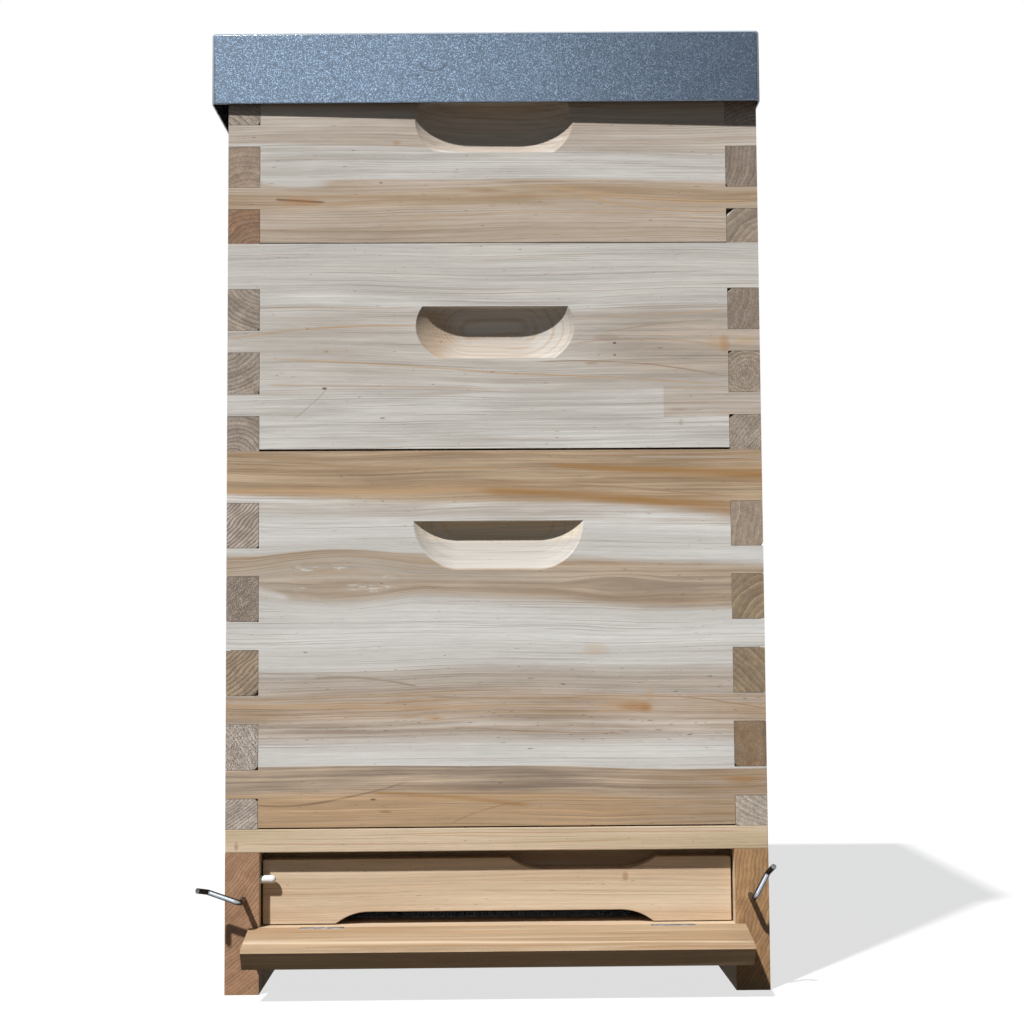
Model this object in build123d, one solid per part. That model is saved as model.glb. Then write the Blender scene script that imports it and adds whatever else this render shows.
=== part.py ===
from build123d import *
from math import cos, radians, sin
import os

# A ten-frame Dadant hive: a floor with a hinged landing board, a brood box, two supers,
# hanging frames, a crown board and a telescoping sheet-metal roof.
# Millimetres. X runs across the hive, -Y is the entrance side, +Z is up, Z = 0 is the ground.

# Hive body
WALL = 26.0
INNER_WIDTH = 386.0
INNER_DEPTH = 450.0
BROOD_HEIGHT = 306.0
SUPER_HEIGHT = 172.0
HIVE_Y = 22.2  # the body stands this far back, so the whole plan outline is centred on the origin
CUT_PAST = 1.0  # cutters reach this far past the face they cut

# Finger joints, counted down from a box's top edge
BROOD_FINGERS = {"first": 42.3, "finger": 37.0, "gap": 22.8}
SUPER_FINGERS = {"first": 37.8, "finger": 34.5, "gap": 18.1}

# Hand-holds: a round hollow with a straight middle between two rounded ends, cut off level above and below.
# Each sits a little to the right of the board's middle, seen from outside.
BROOD_HOLD = {
    "right": 2.6,
    "below_top": 57.8,
    "half_width": 69.4,
    "straight": 32.0,
    "half_height": 40.2,
    "depth": 12.5,
    "widest": 0.0,
    "height": 44.0,
}
SUPER_HOLD = {
    "right": 0.8,
    "below_top": 52.6,
    "half_width": 65.4,
    "straight": 19.0,
    "half_height": 35.0,
    "depth": 16.3,
    "widest": 16.4,
    "height": 43.2,
}

# Frame rests and frames
REST_DEPTH = 13.0
REST_DROP = 19.0
REST_SHEET = 1.0
REST_LIP = 9.0
REST_END_ROOM = 1.0
REST_BACK_ROOM = 0.5
BEE_SPACE = 8.0
TOP_BAR_LENGTH = 470.0
TOP_BAR_THICK = 20.0
LUG_THICK = 10.0
FRAME_LENGTH = 435.0
BAR_WIDTH = 25.0
END_BAR_THICK = 10.0
BOTTOM_BAR_WIDTH = 20.0
BOTTOM_BAR_THICK = 10.0
FOUNDATION_THICK = 3.0
SPACER_GAP = 0.6
BROOD_FRAMES = {"count": 10, "pitch": 38.0, "height": 290.0, "shoulder": 90.0}
SUPER_FRAMES = {"count": 9, "pitch": 42.0, "height": 158.0, "shoulder": 60.0}

# Floor
RUNNER_WIDTH = 27.4
RUNNER_HEIGHT = 112.5
RIM_HEIGHT = 18.5
FRONT_BAR_DEPTH = 47.0
SILL_TOP = 53.0
SILL_THICK = 18.0
SILL_DEPTH = 48.0
LINTEL_BOTTOM = 76.0
LINTEL_THICK = 16.0
REAR_BOARD_THICK = 18.0
BATTEN_WIDTH = 13.0
BATTEN_BOTTOM = 19.0
BATTEN_TOP = 50.0
GROOVE_BOTTOM = 27.0
GROOVE_HEIGHT = 5.0
GROOVE_DEPTH = 7.0
SCREW_HEAD_RADIUS = 4.0
SCREW_HEAD_THICK = 2.5
SCREW_SHANK_RADIUS = 2.0
SCREW_LENGTH = 48.0

# Wire-mesh screen
MESH_THICK = 1.0
MESH_SIDE_ROOM = 0.6
MESH_WIRE = 3.0
MESH_COLUMNS = 14
MESH_ROWS = 18

# Pull-out tray
TRAY_THICK = 3.0
TRAY_ROOM = 1.0
TRAY_LIFT = 0.3
TRAY_FRONT_ROOM = 8.0
TRAY_REAR_OUT = 1.0
TRAY_HANDLE = {"half_width": 60.0, "thick": 10.0, "bottom": 20.0, "top": 38.0}

# Entrance reducer and its peg
REDUCER_RECESS = 12.0
REDUCER_THICK = 18.0
REDUCER_HALF = 190.0
REDUCER_LIFT = 0.8
REDUCER_HEIGHT = 51.6
LOW_NOTCH = {"left": -130.8, "right": 126.4, "end": 26.5, "depth": 9.3}
HIGH_NOTCH = {"left": 10.2, "right": 128.7, "end": 27.0, "depth": 9.0}
PEG_RADIUS = 3.2
PEG_OUT = 13.0
PEG_IN = 9.0
PEG_HEIGHT = 90.7
PEG_RECESS = 6.0

# Landing board and its hinges
BOARD_HALF = 199.5
BOARD_DEPTH = 53.3
BOARD_THICK = 18.0
BOARD_SLOPE = 9.4
BOARD_NOSE = 2.5
BOARD_UNDERCUT = 7.6
BOARD_BACK = -1.2
BOARD_BACK_LOW = 0.4
AXIS_OUT = 2.8
KNUCKLE_RADIUS = 2.2
HINGE_X = 141.0
HINGE_HALF = 17.5
HINGE_MIDDLE_HALF = 5.7
HINGE_SIDE_ROOM = 0.3
LEAF_THICK = 1.2
LEAF_DROP = 13.0
LEAF_IN = 0.4
PIN_RADIUS = 1.15
PIN_BORE = 1.2
HINGE_NOTCH = 2.7
HINGE_SCREW_X = 10.0
HINGE_SCREW_DROP = 8.0
HINGE_SCREW_HEAD = 2.4
HINGE_SCREW_SHANK = 1.2
HINGE_SCREW_LENGTH = 10.0

# Turn hooks
HOOK_X = 204.0
HOOK_Z = 75.5
HOOK_RADIUS = 2.2
HOOK_BORE = 2.26
HOOK_IN = 25.0
HOOK_BORE_DEPTH = 26.0
HOOK_OUT = 21.3
LEFT_HOOK_ARM = 27.0
RIGHT_HOOK_ARM = 23.0
HOOK_TIP_ALONG = 7.0
HOOK_TIP_OUT = 10.0
HOOK_BEND = 5.0
HOOK_TIP_BEND = 4.0
LEFT_HOOK_ANGLE = 160.6
RIGHT_HOOK_ANGLE = 61.6

# Cover
CROWN_THICK = 3.0
CROWN_ROOM = 1.0
ROOF_WIDTH = 453.0
ROOF_DEPTH = 520.0
ROOF_HEIGHT = 60.0
ROOF_SHEET = 1.0
ROOF_BEND = 3.0
ROOF_X = -1.5
ROOF_YAW = -0.95  # the loose roof sits a little turned, as photographed

# Places that follow from the driving dimensions
HALF_WIDTH = INNER_WIDTH / 2 + WALL
HALF_DEPTH = INNER_DEPTH / 2 + WALL
FLOOR_TOP = RUNNER_HEIGHT + RIM_HEIGHT
BROOD_TOP = FLOOR_TOP + BROOD_HEIGHT
LOWER_TOP = BROOD_TOP + SUPER_HEIGHT
UPPER_TOP = LOWER_TOP + SUPER_HEIGHT
CROWN_TOP = UPPER_TOP + CROWN_THICK
RUNNER_INNER = HALF_WIDTH - RUNNER_WIDTH
FRONT = -HALF_DEPTH
AXIS_Y = FRONT - AXIS_OUT
AXIS_Z = SILL_TOP - KNUCKLE_RADIUS


def block(x0, x1, y0, y1, z0, z1):
    """A box between two corners."""
    size = Box(x1 - x0, y1 - y0, z1 - z0)
    return Pos((x0 + x1) / 2, (y0 + y1) / 2, (z0 + z1) / 2) * size


def rod_x(radius, x0, x1, y, z):
    """A round rod along X."""
    return Pos((x0 + x1) / 2, y, z) * Rot(0, 90, 0) * Cylinder(radius, x1 - x0)


def rod_y(radius, y0, y1, x, z):
    """A round rod along Y."""
    return Pos(x, (y0 + y1) / 2, z) * Rot(90, 0, 0) * Cylinder(radius, y1 - y0)


def rod_z(radius, z0, z1, x, y):
    """A round rod along Z."""
    return Pos(x, y, (z0 + z1) / 2) * Cylinder(radius, z1 - z0)


def group(solids):
    """Separate solids that share one node."""
    return Compound([s.solid() for s in solids])


def scoop(hold):
    """The hollow of a hand-hold in a face at Y = 0 that looks along -Y, with its ceiling at Z = 0."""
    round_radius = (hold["half_height"] ** 2 + hold["depth"] ** 2) / (2 * hold["depth"])
    straight = hold["straight"]
    end_radius = (hold["half_width"] - straight) * round_radius / hold["half_height"]
    outline = [
        EllipticalCenterArc((straight, 0), end_radius, round_radius, start_angle=0, arc_size=90),
        Line((straight, round_radius), (-straight, round_radius)),
        EllipticalCenterArc((-straight, 0), end_radius, round_radius, start_angle=90, arc_size=90),
        Line((-straight - end_radius, 0), (straight + end_radius, 0)),
    ]
    hollow = revolve(make_face(outline), Axis.X)
    hollow = Pos(0, hold["depth"] - round_radius, -hold["widest"]) * hollow
    reach = hold["half_width"] + WALL
    return hollow & block(-reach, reach, -CUT_PAST, WALL, -hold["height"], 0)


def finger_spans(height, layout):
    """Heights below the top edge between which the side boards' fingers reach the front."""
    spans = []
    start = layout["first"]
    while start < height:
        spans.append((start, min(start + layout["finger"], height)))
        start += layout["finger"] + layout["gap"]
    return spans


def gaps_between(spans, height):
    """The heights that the spans leave free."""
    edges = [0.0] + [edge for span in spans for edge in span] + [height]
    pairs = zip(edges[0::2], edges[1::2])
    return [(top, bottom) for top, bottom in pairs if bottom > top]


def end_board(top, height, layout, hold):
    """A front board: finger notches at both ends, a stopped frame rebate and a hand-hold."""
    board = block(-HALF_WIDTH, HALF_WIDTH, FRONT, FRONT + WALL, top - height, top)
    for upper, lower in finger_spans(height, layout):
        for x0 in (-HALF_WIDTH, HALF_WIDTH - WALL):
            board -= block(x0, x0 + WALL, FRONT, FRONT + WALL, top - lower, top - upper)
    rebate = FRONT + WALL - REST_DEPTH
    board -= block(-INNER_WIDTH / 2, INNER_WIDTH / 2, rebate, FRONT + WALL, top - REST_DROP, top)
    return board - Pos(hold["right"], FRONT, top - hold["below_top"]) * scoop(hold)


def side_board(top, height, layout, hold):
    """A left board: fingers that fill the end boards' notches, and a hand-hold."""
    board = block(-HALF_WIDTH, WALL - HALF_WIDTH, FRONT, -FRONT, top - height, top)
    for upper, lower in gaps_between(finger_spans(height, layout), height):
        for y0 in (FRONT, -FRONT - WALL):
            board -= block(-HALF_WIDTH, WALL - HALF_WIDTH, y0, y0 + WALL, top - lower, top - upper)
    place = Pos(-HALF_WIDTH, -hold["right"], top - hold["below_top"]) * Rot(0, 0, -90)
    return board - place * scoop(hold)


def frame_rest(top):
    """An angle strip on the front rebate that the frame lugs sit on."""
    seat = top - REST_DROP
    inner = FRONT + WALL
    back = inner - REST_DEPTH + REST_BACK_ROOM
    half = INNER_WIDTH / 2 - REST_END_ROOM
    flange = block(-half, half, back, inner + REST_SHEET, seat, seat + REST_SHEET)
    lip = block(-half, half, inner, inner + REST_SHEET, seat + REST_SHEET - REST_LIP, seat + REST_SHEET)
    return flange + lip


def hive_box(name, top, height, layout, hold):
    """The boards and frame rests of one box."""
    turn = Rot(0, 0, 180)
    front = end_board(top, height, layout, hold)
    left = side_board(top, height, layout, hold)
    rest = frame_rest(top)
    return {
        f"{name}_front_board": front,
        f"{name}_back_board": turn * front,
        f"{name}_left_board": left,
        f"{name}_right_board": turn * left,
        f"{name}_frame_rests": group([rest, turn * rest]),
    }


def top_bar(top):
    """A frame's top bar with a lug at each end."""
    upper = top - BEE_SPACE
    half = TOP_BAR_LENGTH / 2
    inner = FRAME_LENGTH / 2 - END_BAR_THICK
    lug = block(-BAR_WIDTH / 2, BAR_WIDTH / 2, -half, half, upper - LUG_THICK, upper)
    return lug + block(-BAR_WIDTH / 2, BAR_WIDTH / 2, -inner, inner, upper - TOP_BAR_THICK, upper)


def end_bar(top, frames):
    """A frame's front end bar, wide at its shoulders so that the frames space themselves."""
    upper = top - BEE_SPACE - LUG_THICK
    lower = top - BEE_SPACE - frames["height"]
    y0 = -FRAME_LENGTH / 2
    wide = (frames["pitch"] - SPACER_GAP) / 2
    narrow = BAR_WIDTH / 2
    bar = block(-narrow, narrow, y0, y0 + END_BAR_THICK, lower, upper)
    return bar + block(-wide, wide, y0, y0 + END_BAR_THICK, upper - frames["shoulder"], upper)


def frame_set(name, top, frames):
    """All the frames of one box, one node for each kind of bar and one for the wax sheets."""
    inner = FRAME_LENGTH / 2 - END_BAR_THICK
    lower = top - BEE_SPACE - frames["height"]
    floor = lower + BOTTOM_BAR_THICK
    half_bottom = BOTTOM_BAR_WIDTH / 2
    half_wax = FOUNDATION_THICK / 2
    ceiling = top - BEE_SPACE - TOP_BAR_THICK
    upper_bar = top_bar(top)
    front_end = end_bar(top, frames)
    back_end = Rot(0, 0, 180) * front_end
    bottom_bar = block(-half_bottom, half_bottom, -inner, inner, lower, floor)
    wax = block(-half_wax, half_wax, -inner, inner, floor, ceiling)
    middle = (frames["count"] - 1) / 2
    places = [Pos((i - middle) * frames["pitch"], 0, 0) for i in range(frames["count"])]
    return {
        f"{name}_frame_top_bars": group([p * upper_bar for p in places]),
        f"{name}_frame_end_bars": group([p * end for p in places for end in (front_end, back_end)]),
        f"{name}_frame_bottom_bars": group([p * bottom_bar for p in places]),
        f"{name}_wax_foundations": group([p * wax for p in places]),
    }


def rim_screws():
    """Screws that hold the rim's bars down on the runners."""
    across = HALF_WIDTH - RUNNER_WIDTH / 2
    rows = (FRONT + FRONT_BAR_DEPTH / 2, -INNER_DEPTH / 4, INNER_DEPTH / 4, -FRONT - RUNNER_WIDTH / 2)
    screws = []
    for x in (-across, across):
        for y in rows:
            head = rod_z(SCREW_HEAD_RADIUS, FLOOR_TOP - SCREW_HEAD_THICK, FLOOR_TOP, x, y)
            screws.append(head + rod_z(SCREW_SHANK_RADIUS, FLOOR_TOP - SCREW_LENGTH, FLOOR_TOP, x, y))
    return screws


def peg():
    """A round-nosed plastic peg in the left runner that keeps the reducer in."""
    y = FRONT + PEG_RECESS
    end = -RUNNER_INNER + PEG_OUT - PEG_RADIUS
    nose = Pos(end, y, PEG_HEIGHT) * Sphere(PEG_RADIUS)
    return rod_x(PEG_RADIUS, -RUNNER_INNER - PEG_IN, end, y, PEG_HEIGHT) + nose


def mesh_screen():
    """A flat wire screen between the runners."""
    half = RUNNER_INNER - MESH_SIDE_ROOM
    front = FRONT + SILL_DEPTH + MESH_SIDE_ROOM
    back = -FRONT - REAR_BOARD_THICK - MESH_SIDE_ROOM
    width = 2 * half
    depth = back - front
    step_x = (width - MESH_WIRE) / MESH_COLUMNS
    step_y = (depth - MESH_WIRE) / MESH_ROWS
    hole = Rectangle(step_x - MESH_WIRE, step_y - MESH_WIRE)
    net = Rectangle(width, depth) - GridLocations(step_x, step_y, MESH_COLUMNS, MESH_ROWS) * hole
    return Pos(0, (front + back) / 2, BATTEN_TOP) * extrude(net, MESH_THICK)


def floor_wood():
    """The floor's fixed wooden pieces, before holes are bored in them."""
    runner = block(-HALF_WIDTH, -RUNNER_INNER, FRONT, -FRONT, 0, RUNNER_HEIGHT)
    rail_back = -FRONT - RUNNER_WIDTH
    rail = block(-HALF_WIDTH, -RUNNER_INNER, FRONT + FRONT_BAR_DEPTH, rail_back, RUNNER_HEIGHT, FLOOR_TOP)
    lintel_back = FRONT + FRONT_BAR_DEPTH
    lintel_front = lintel_back - LINTEL_THICK
    sill_back = FRONT + SILL_DEPTH
    rear = -FRONT - REAR_BOARD_THICK
    batten_x = BATTEN_WIDTH - RUNNER_INNER
    batten = block(-RUNNER_INNER, batten_x, sill_back, rear, BATTEN_BOTTOM, BATTEN_TOP)
    groove_x = batten_x - GROOVE_DEPTH
    groove_top = GROOVE_BOTTOM + GROOVE_HEIGHT
    batten -= block(groove_x, groove_x + GROOVE_DEPTH, FRONT, -FRONT, GROOVE_BOTTOM, groove_top)
    mirror_yz = Plane.YZ
    return {
        "floor_left_runner": runner,
        "floor_right_runner": mirror(runner, mirror_yz),
        "floor_front_bar": block(-HALF_WIDTH, HALF_WIDTH, FRONT, lintel_back, RUNNER_HEIGHT, FLOOR_TOP),
        "floor_rear_bar": block(-HALF_WIDTH, HALF_WIDTH, rail_back, -FRONT, RUNNER_HEIGHT, FLOOR_TOP),
        "floor_left_rail": rail,
        "floor_right_rail": mirror(rail, mirror_yz),
        "entrance_lintel": block(
            -RUNNER_INNER, RUNNER_INNER, lintel_front, lintel_back, LINTEL_BOTTOM, RUNNER_HEIGHT
        ),
        "entrance_sill": block(
            -RUNNER_INNER, RUNNER_INNER, FRONT, sill_back, SILL_TOP - SILL_THICK, SILL_TOP
        ),
        "floor_rear_board": block(
            -RUNNER_INNER, RUNNER_INNER, rear, -FRONT, SILL_TOP - SILL_THICK, RUNNER_HEIGHT
        ),
        "tray_guide_left": batten,
        "tray_guide_right": mirror(batten, mirror_yz),
    }


def on_board(piece):
    """Turns a piece made on a level landing board down to the board's slope."""
    return Pos(0, AXIS_Y, AXIS_Z) * Rot(BOARD_SLOPE, 0, 0) * piece


def board_block(x0, x1, u0, u1, n0, n1):
    """A box on the level board: u runs forward from the hinge axis, n up from it."""
    return block(x0, x1, -u1, -u0, n0, n1)


def landing_board():
    """A board with a bevelled nose and undercut front, notched for the two hinges."""
    top = KNUCKLE_RADIUS
    bottom = KNUCKLE_RADIUS - BOARD_THICK
    outline = [
        (BOARD_BACK, top),
        (BOARD_DEPTH - BOARD_NOSE, top),
        (BOARD_DEPTH, top - BOARD_NOSE),
        (BOARD_DEPTH - BOARD_UNDERCUT, bottom),
        (BOARD_BACK_LOW, bottom),
    ]
    profile = Plane.YZ * make_face(Polyline([(-u, n) for u, n in outline], close=True))
    board = extrude(profile, BOARD_HALF, both=True)
    for x in (-HINGE_X, HINGE_X):
        side = x - HINGE_HALF - HINGE_SIDE_ROOM, x + HINGE_HALF + HINGE_SIDE_ROOM
        over = top + CUT_PAST
        board -= board_block(*side, BOARD_BACK - CUT_PAST, HINGE_NOTCH, -HINGE_NOTCH, over)
        leaf = x - HINGE_HALF, x + HINGE_HALF, BOARD_BACK - CUT_PAST, LEAF_IN + LEAF_THICK
        board -= board_block(*leaf, -LEAF_DROP, -HINGE_NOTCH)
    return board


def fixed_leaf(x):
    """The hinge leaf let into the front of the sill, with the two outer knuckles."""
    side = x - HINGE_HALF, x + HINGE_HALF
    back = FRONT + LEAF_THICK
    leaf = block(*side, FRONT, back, SILL_TOP - LEAF_DROP, SILL_TOP)
    leaf += block(*side, AXIS_Y, back, SILL_TOP - LEAF_THICK, SILL_TOP)
    room = HINGE_MIDDLE_HALF + HINGE_SIDE_ROOM
    leaf -= block(x - room, x + room, AXIS_Y - CUT_PAST, FRONT, 0, SILL_TOP)
    for x0, x1 in ((x - HINGE_HALF, x - room), (x + room, x + HINGE_HALF)):
        leaf += rod_x(KNUCKLE_RADIUS, x0, x1, AXIS_Y, AXIS_Z)
    return leaf - rod_x(PIN_BORE, x - HINGE_HALF, x + HINGE_HALF, AXIS_Y, AXIS_Z)


def moving_leaf(x):
    """The hinge leaf let into the back edge of the level landing board, with the middle knuckle."""
    across = LEAF_IN, LEAF_IN + LEAF_THICK
    leaf = board_block(x - HINGE_HALF, x + HINGE_HALF, *across, -LEAF_DROP, -HINGE_NOTCH)
    middle = x - HINGE_MIDDLE_HALF, x + HINGE_MIDDLE_HALF
    leaf += board_block(*middle, *across, -HINGE_NOTCH, 0)
    leaf += rod_x(KNUCKLE_RADIUS, *middle, 0, 0)
    return leaf - rod_x(PIN_BORE, *middle, 0, 0)


def leaf_screws(x, face, inward, z):
    """The two flush screws of one hinge leaf, driven from its face along Y."""
    head = sorted((face, face + inward * LEAF_THICK))
    shank = sorted((face, face + inward * HINGE_SCREW_LENGTH))
    screws = []
    for side in (x - HINGE_SCREW_X, x + HINGE_SCREW_X):
        screw = rod_y(HINGE_SCREW_HEAD, *head, side, z)
        screws.append(screw + rod_y(HINGE_SCREW_SHANK, *shank, side, z))
    return screws


def turn_hook(x, angle, arm):
    """A hand-bent wire hook: a stem in the runner, an arm across it and a tip flared outwards."""
    across, rise = cos(radians(angle)), sin(radians(angle))
    elbow = Vector(x, FRONT - HOOK_OUT, HOOK_Z)
    bend = elbow + Vector(across, 0, rise) * arm
    tip = bend + Vector(across * HOOK_TIP_ALONG, -HOOK_TIP_OUT, rise * HOOK_TIP_ALONG)
    start = Vector(x, FRONT + HOOK_IN, HOOK_Z)
    path = FilletPolyline(start, elbow, bend, tip, radius=[HOOK_BEND, HOOK_TIP_BEND])
    return sweep(Plane(start, z_dir=(0, -1, 0)) * Circle(HOOK_RADIUS), path=path)


def notch(shape, edge, floor):
    """A notch's outline: a level floor that runs out to the edge in an arc at both ends."""
    left = shape["left"] + shape["end"], floor
    right = shape["right"] - shape["end"], floor
    run_in = TangentArc(left, (shape["left"], edge), tangent=(-1, 0))
    run_out = TangentArc(right, (shape["right"], edge), tangent=(1, 0))
    return [run_in, Line(left, right), run_out]


def entrance_reducer():
    """A reversible entrance board with a wide notch below and a narrow one above."""
    low = SILL_TOP + REDUCER_LIFT
    high = low + REDUCER_HEIGHT
    edges = notch(LOW_NOTCH, low, low + LOW_NOTCH["depth"])
    edges += notch(HIGH_NOTCH, high, high - HIGH_NOTCH["depth"])
    edges.append(Line((-REDUCER_HALF, low), (LOW_NOTCH["left"], low)))
    right_end = (REDUCER_HALF, low), (REDUCER_HALF, high)
    edges.append(Polyline((LOW_NOTCH["right"], low), *right_end, (HIGH_NOTCH["right"], high)))
    edges.append(Polyline((HIGH_NOTCH["left"], high), (-REDUCER_HALF, high), (-REDUCER_HALF, low)))
    face = Plane.XZ.offset(-(FRONT + REDUCER_RECESS)) * make_face(edges)
    return extrude(face, -REDUCER_THICK)


def tray():
    """A flat tray that slides out of the back under the screen."""
    half = RUNNER_INNER - BATTEN_WIDTH + GROOVE_DEPTH - TRAY_ROOM
    low = GROOVE_BOTTOM + TRAY_LIFT
    front = FRONT + SILL_DEPTH + TRAY_FRONT_ROOM
    return block(-half, half, front, -FRONT + TRAY_REAR_OUT, low, low + TRAY_THICK)


def tray_handle():
    """A batten on the tray's back edge to pull it by."""
    half = TRAY_HANDLE["half_width"]
    y0 = -FRONT + TRAY_REAR_OUT
    return block(-half, half, y0, y0 + TRAY_HANDLE["thick"], TRAY_HANDLE["bottom"], TRAY_HANDLE["top"])


def crown_board():
    """A thin plywood sheet over the upper super."""
    half_x = HALF_WIDTH - CROWN_ROOM
    half_y = HALF_DEPTH - CROWN_ROOM
    return block(-half_x, half_x, -half_y, half_y, UPPER_TOP, CROWN_TOP)


def roof():
    """A folded sheet-metal cover that telescopes over the upper super."""
    high = CROWN_TOP + ROOF_SHEET
    low = high - ROOF_HEIGHT
    shell = block(-ROOF_WIDTH / 2, ROOF_WIDTH / 2, -ROOF_DEPTH / 2, ROOF_DEPTH / 2, low, high)
    rounded = shell.edges().filter_by(Axis.Z) + shell.edges().group_by(Axis.Z)[-1]
    shell = fillet(rounded, ROOF_BEND)
    half_x = ROOF_WIDTH / 2 - ROOF_SHEET
    half_y = ROOF_DEPTH / 2 - ROOF_SHEET
    hollow = block(-half_x, half_x, -half_y, half_y, low - CUT_PAST, CROWN_TOP)
    bends = hollow.edges().filter_by(Axis.Z) + hollow.edges().group_by(Axis.Z)[-1]
    hollow = fillet(bends, ROOF_BEND - ROOF_SHEET)
    return Pos(ROOF_X, 0, 0) * Rot(0, 0, ROOF_YAW) * (shell - hollow)


def floor_nodes():
    """The floor with its screen, tray, reducer, peg and rim screws, bored for what is driven into it."""
    wood = floor_wood()
    screws = rim_screws()
    for screw in screws:
        for name in wood:
            if name.endswith(("runner", "rail", "_bar")):
                wood[name] -= screw
    hook_bore = rod_y(HOOK_BORE, FRONT, FRONT + HOOK_BORE_DEPTH, HOOK_X, HOOK_Z)
    wood["floor_right_runner"] -= hook_bore
    wood["floor_left_runner"] -= mirror(hook_bore, Plane.YZ)
    wood["floor_left_runner"] -= peg()
    fixed_leaves = [fixed_leaf(x) for x in (-HINGE_X, HINGE_X)]
    fixed_screws = []
    for x, leaf in zip((-HINGE_X, HINGE_X), fixed_leaves):
        wood["entrance_sill"] -= leaf
        fixed_screws += leaf_screws(x, FRONT, 1, SILL_TOP - HINGE_SCREW_DROP)
    for screw in fixed_screws:
        wood["entrance_sill"] -= screw
        fixed_leaves = [leaf - screw for leaf in fixed_leaves]
    return wood | {
        "floor_rim_screws": group(screws),
        "reducer_peg": peg(),
        "mesh_screen": mesh_screen(),
        "hinge_fixed_leaves": group(fixed_leaves),
        "hinge_fixed_screws": group(fixed_screws),
        "entrance_reducer": entrance_reducer(),
        "varroa_tray": tray(),
        "tray_handle": tray_handle(),
        "left_hook": turn_hook(-HOOK_X, LEFT_HOOK_ANGLE, LEFT_HOOK_ARM),
        "right_hook": turn_hook(HOOK_X, RIGHT_HOOK_ANGLE, RIGHT_HOOK_ARM),
    }


def landing_nodes():
    """The landing board with its hinge leaves, screws and pins, turned down to its slope."""
    board = landing_board()
    leaves = [moving_leaf(x) for x in (-HINGE_X, HINGE_X)]
    screws = []
    for x in (-HINGE_X, HINGE_X):
        screws += leaf_screws(x, -LEAF_IN, -1, -HINGE_SCREW_DROP)
    for screw in screws:
        board -= screw
        leaves = [leaf - screw for leaf in leaves]
    pins = [rod_x(PIN_RADIUS, x - HINGE_HALF, x + HINGE_HALF, 0, 0) for x in (-HINGE_X, HINGE_X)]
    return {
        "landing_board": on_board(board),
        "hinge_moving_leaves": group([on_board(leaf) for leaf in leaves]),
        "hinge_moving_screws": group([on_board(screw) for screw in screws]),
        "hinge_pins": group([on_board(pin) for pin in pins]),
    }


def hive_nodes():
    """Every node of the hive, by name."""
    nodes = floor_nodes() | landing_nodes()
    nodes |= hive_box("brood", BROOD_TOP, BROOD_HEIGHT, BROOD_FINGERS, BROOD_HOLD)
    nodes |= hive_box("lower_super", LOWER_TOP, SUPER_HEIGHT, SUPER_FINGERS, SUPER_HOLD)
    nodes |= hive_box("upper_super", UPPER_TOP, SUPER_HEIGHT, SUPER_FINGERS, SUPER_HOLD)
    nodes |= frame_set("brood", BROOD_TOP, BROOD_FRAMES)
    nodes |= frame_set("lower_super", LOWER_TOP, SUPER_FRAMES)
    nodes |= frame_set("upper_super", UPPER_TOP, SUPER_FRAMES)
    return nodes | {"crown_board": crown_board(), "roof": roof()}


os.makedirs("parts", exist_ok=True)
for node, shape in hive_nodes().items():
    export_step(Pos(0, HIVE_Y, 0) * shape, f"parts/{node}.step")
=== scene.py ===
"""A ten-frame Dadant hive dressed for a studio picture: bare wood, painted sheet metal, wire and wax."""

import logging
import math
from dataclasses import dataclass
from enum import Enum
from typing import Callable, Union

import bmesh
import bpy
from mathutils import Matrix, Vector


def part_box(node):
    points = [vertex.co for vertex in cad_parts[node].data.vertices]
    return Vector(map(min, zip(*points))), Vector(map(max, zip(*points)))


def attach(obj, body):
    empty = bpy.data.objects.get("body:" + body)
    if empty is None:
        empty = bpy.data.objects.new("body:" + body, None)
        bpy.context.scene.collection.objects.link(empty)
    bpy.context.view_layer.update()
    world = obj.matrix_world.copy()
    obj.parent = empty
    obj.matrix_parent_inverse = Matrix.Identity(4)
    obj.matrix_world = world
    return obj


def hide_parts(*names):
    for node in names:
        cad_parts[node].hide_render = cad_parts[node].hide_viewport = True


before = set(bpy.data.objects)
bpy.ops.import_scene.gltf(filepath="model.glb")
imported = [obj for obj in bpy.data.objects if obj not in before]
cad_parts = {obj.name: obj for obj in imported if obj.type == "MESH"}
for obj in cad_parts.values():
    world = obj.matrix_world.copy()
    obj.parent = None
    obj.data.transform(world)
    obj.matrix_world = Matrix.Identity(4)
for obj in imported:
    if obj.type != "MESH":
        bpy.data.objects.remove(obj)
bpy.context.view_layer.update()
log = logging.getLogger("hive")

MM = 0.001
TINY = MM / 10
FRONT_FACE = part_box("brood_front_board")[0].y / MM

Number = Union[int, float]
Colour = tuple[float, float, float, float]
Edge = tuple[float, float]
Sizes = tuple[float, float, float]

WHITE: Colour = (1.0, 1.0, 1.0, 1.0)


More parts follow.
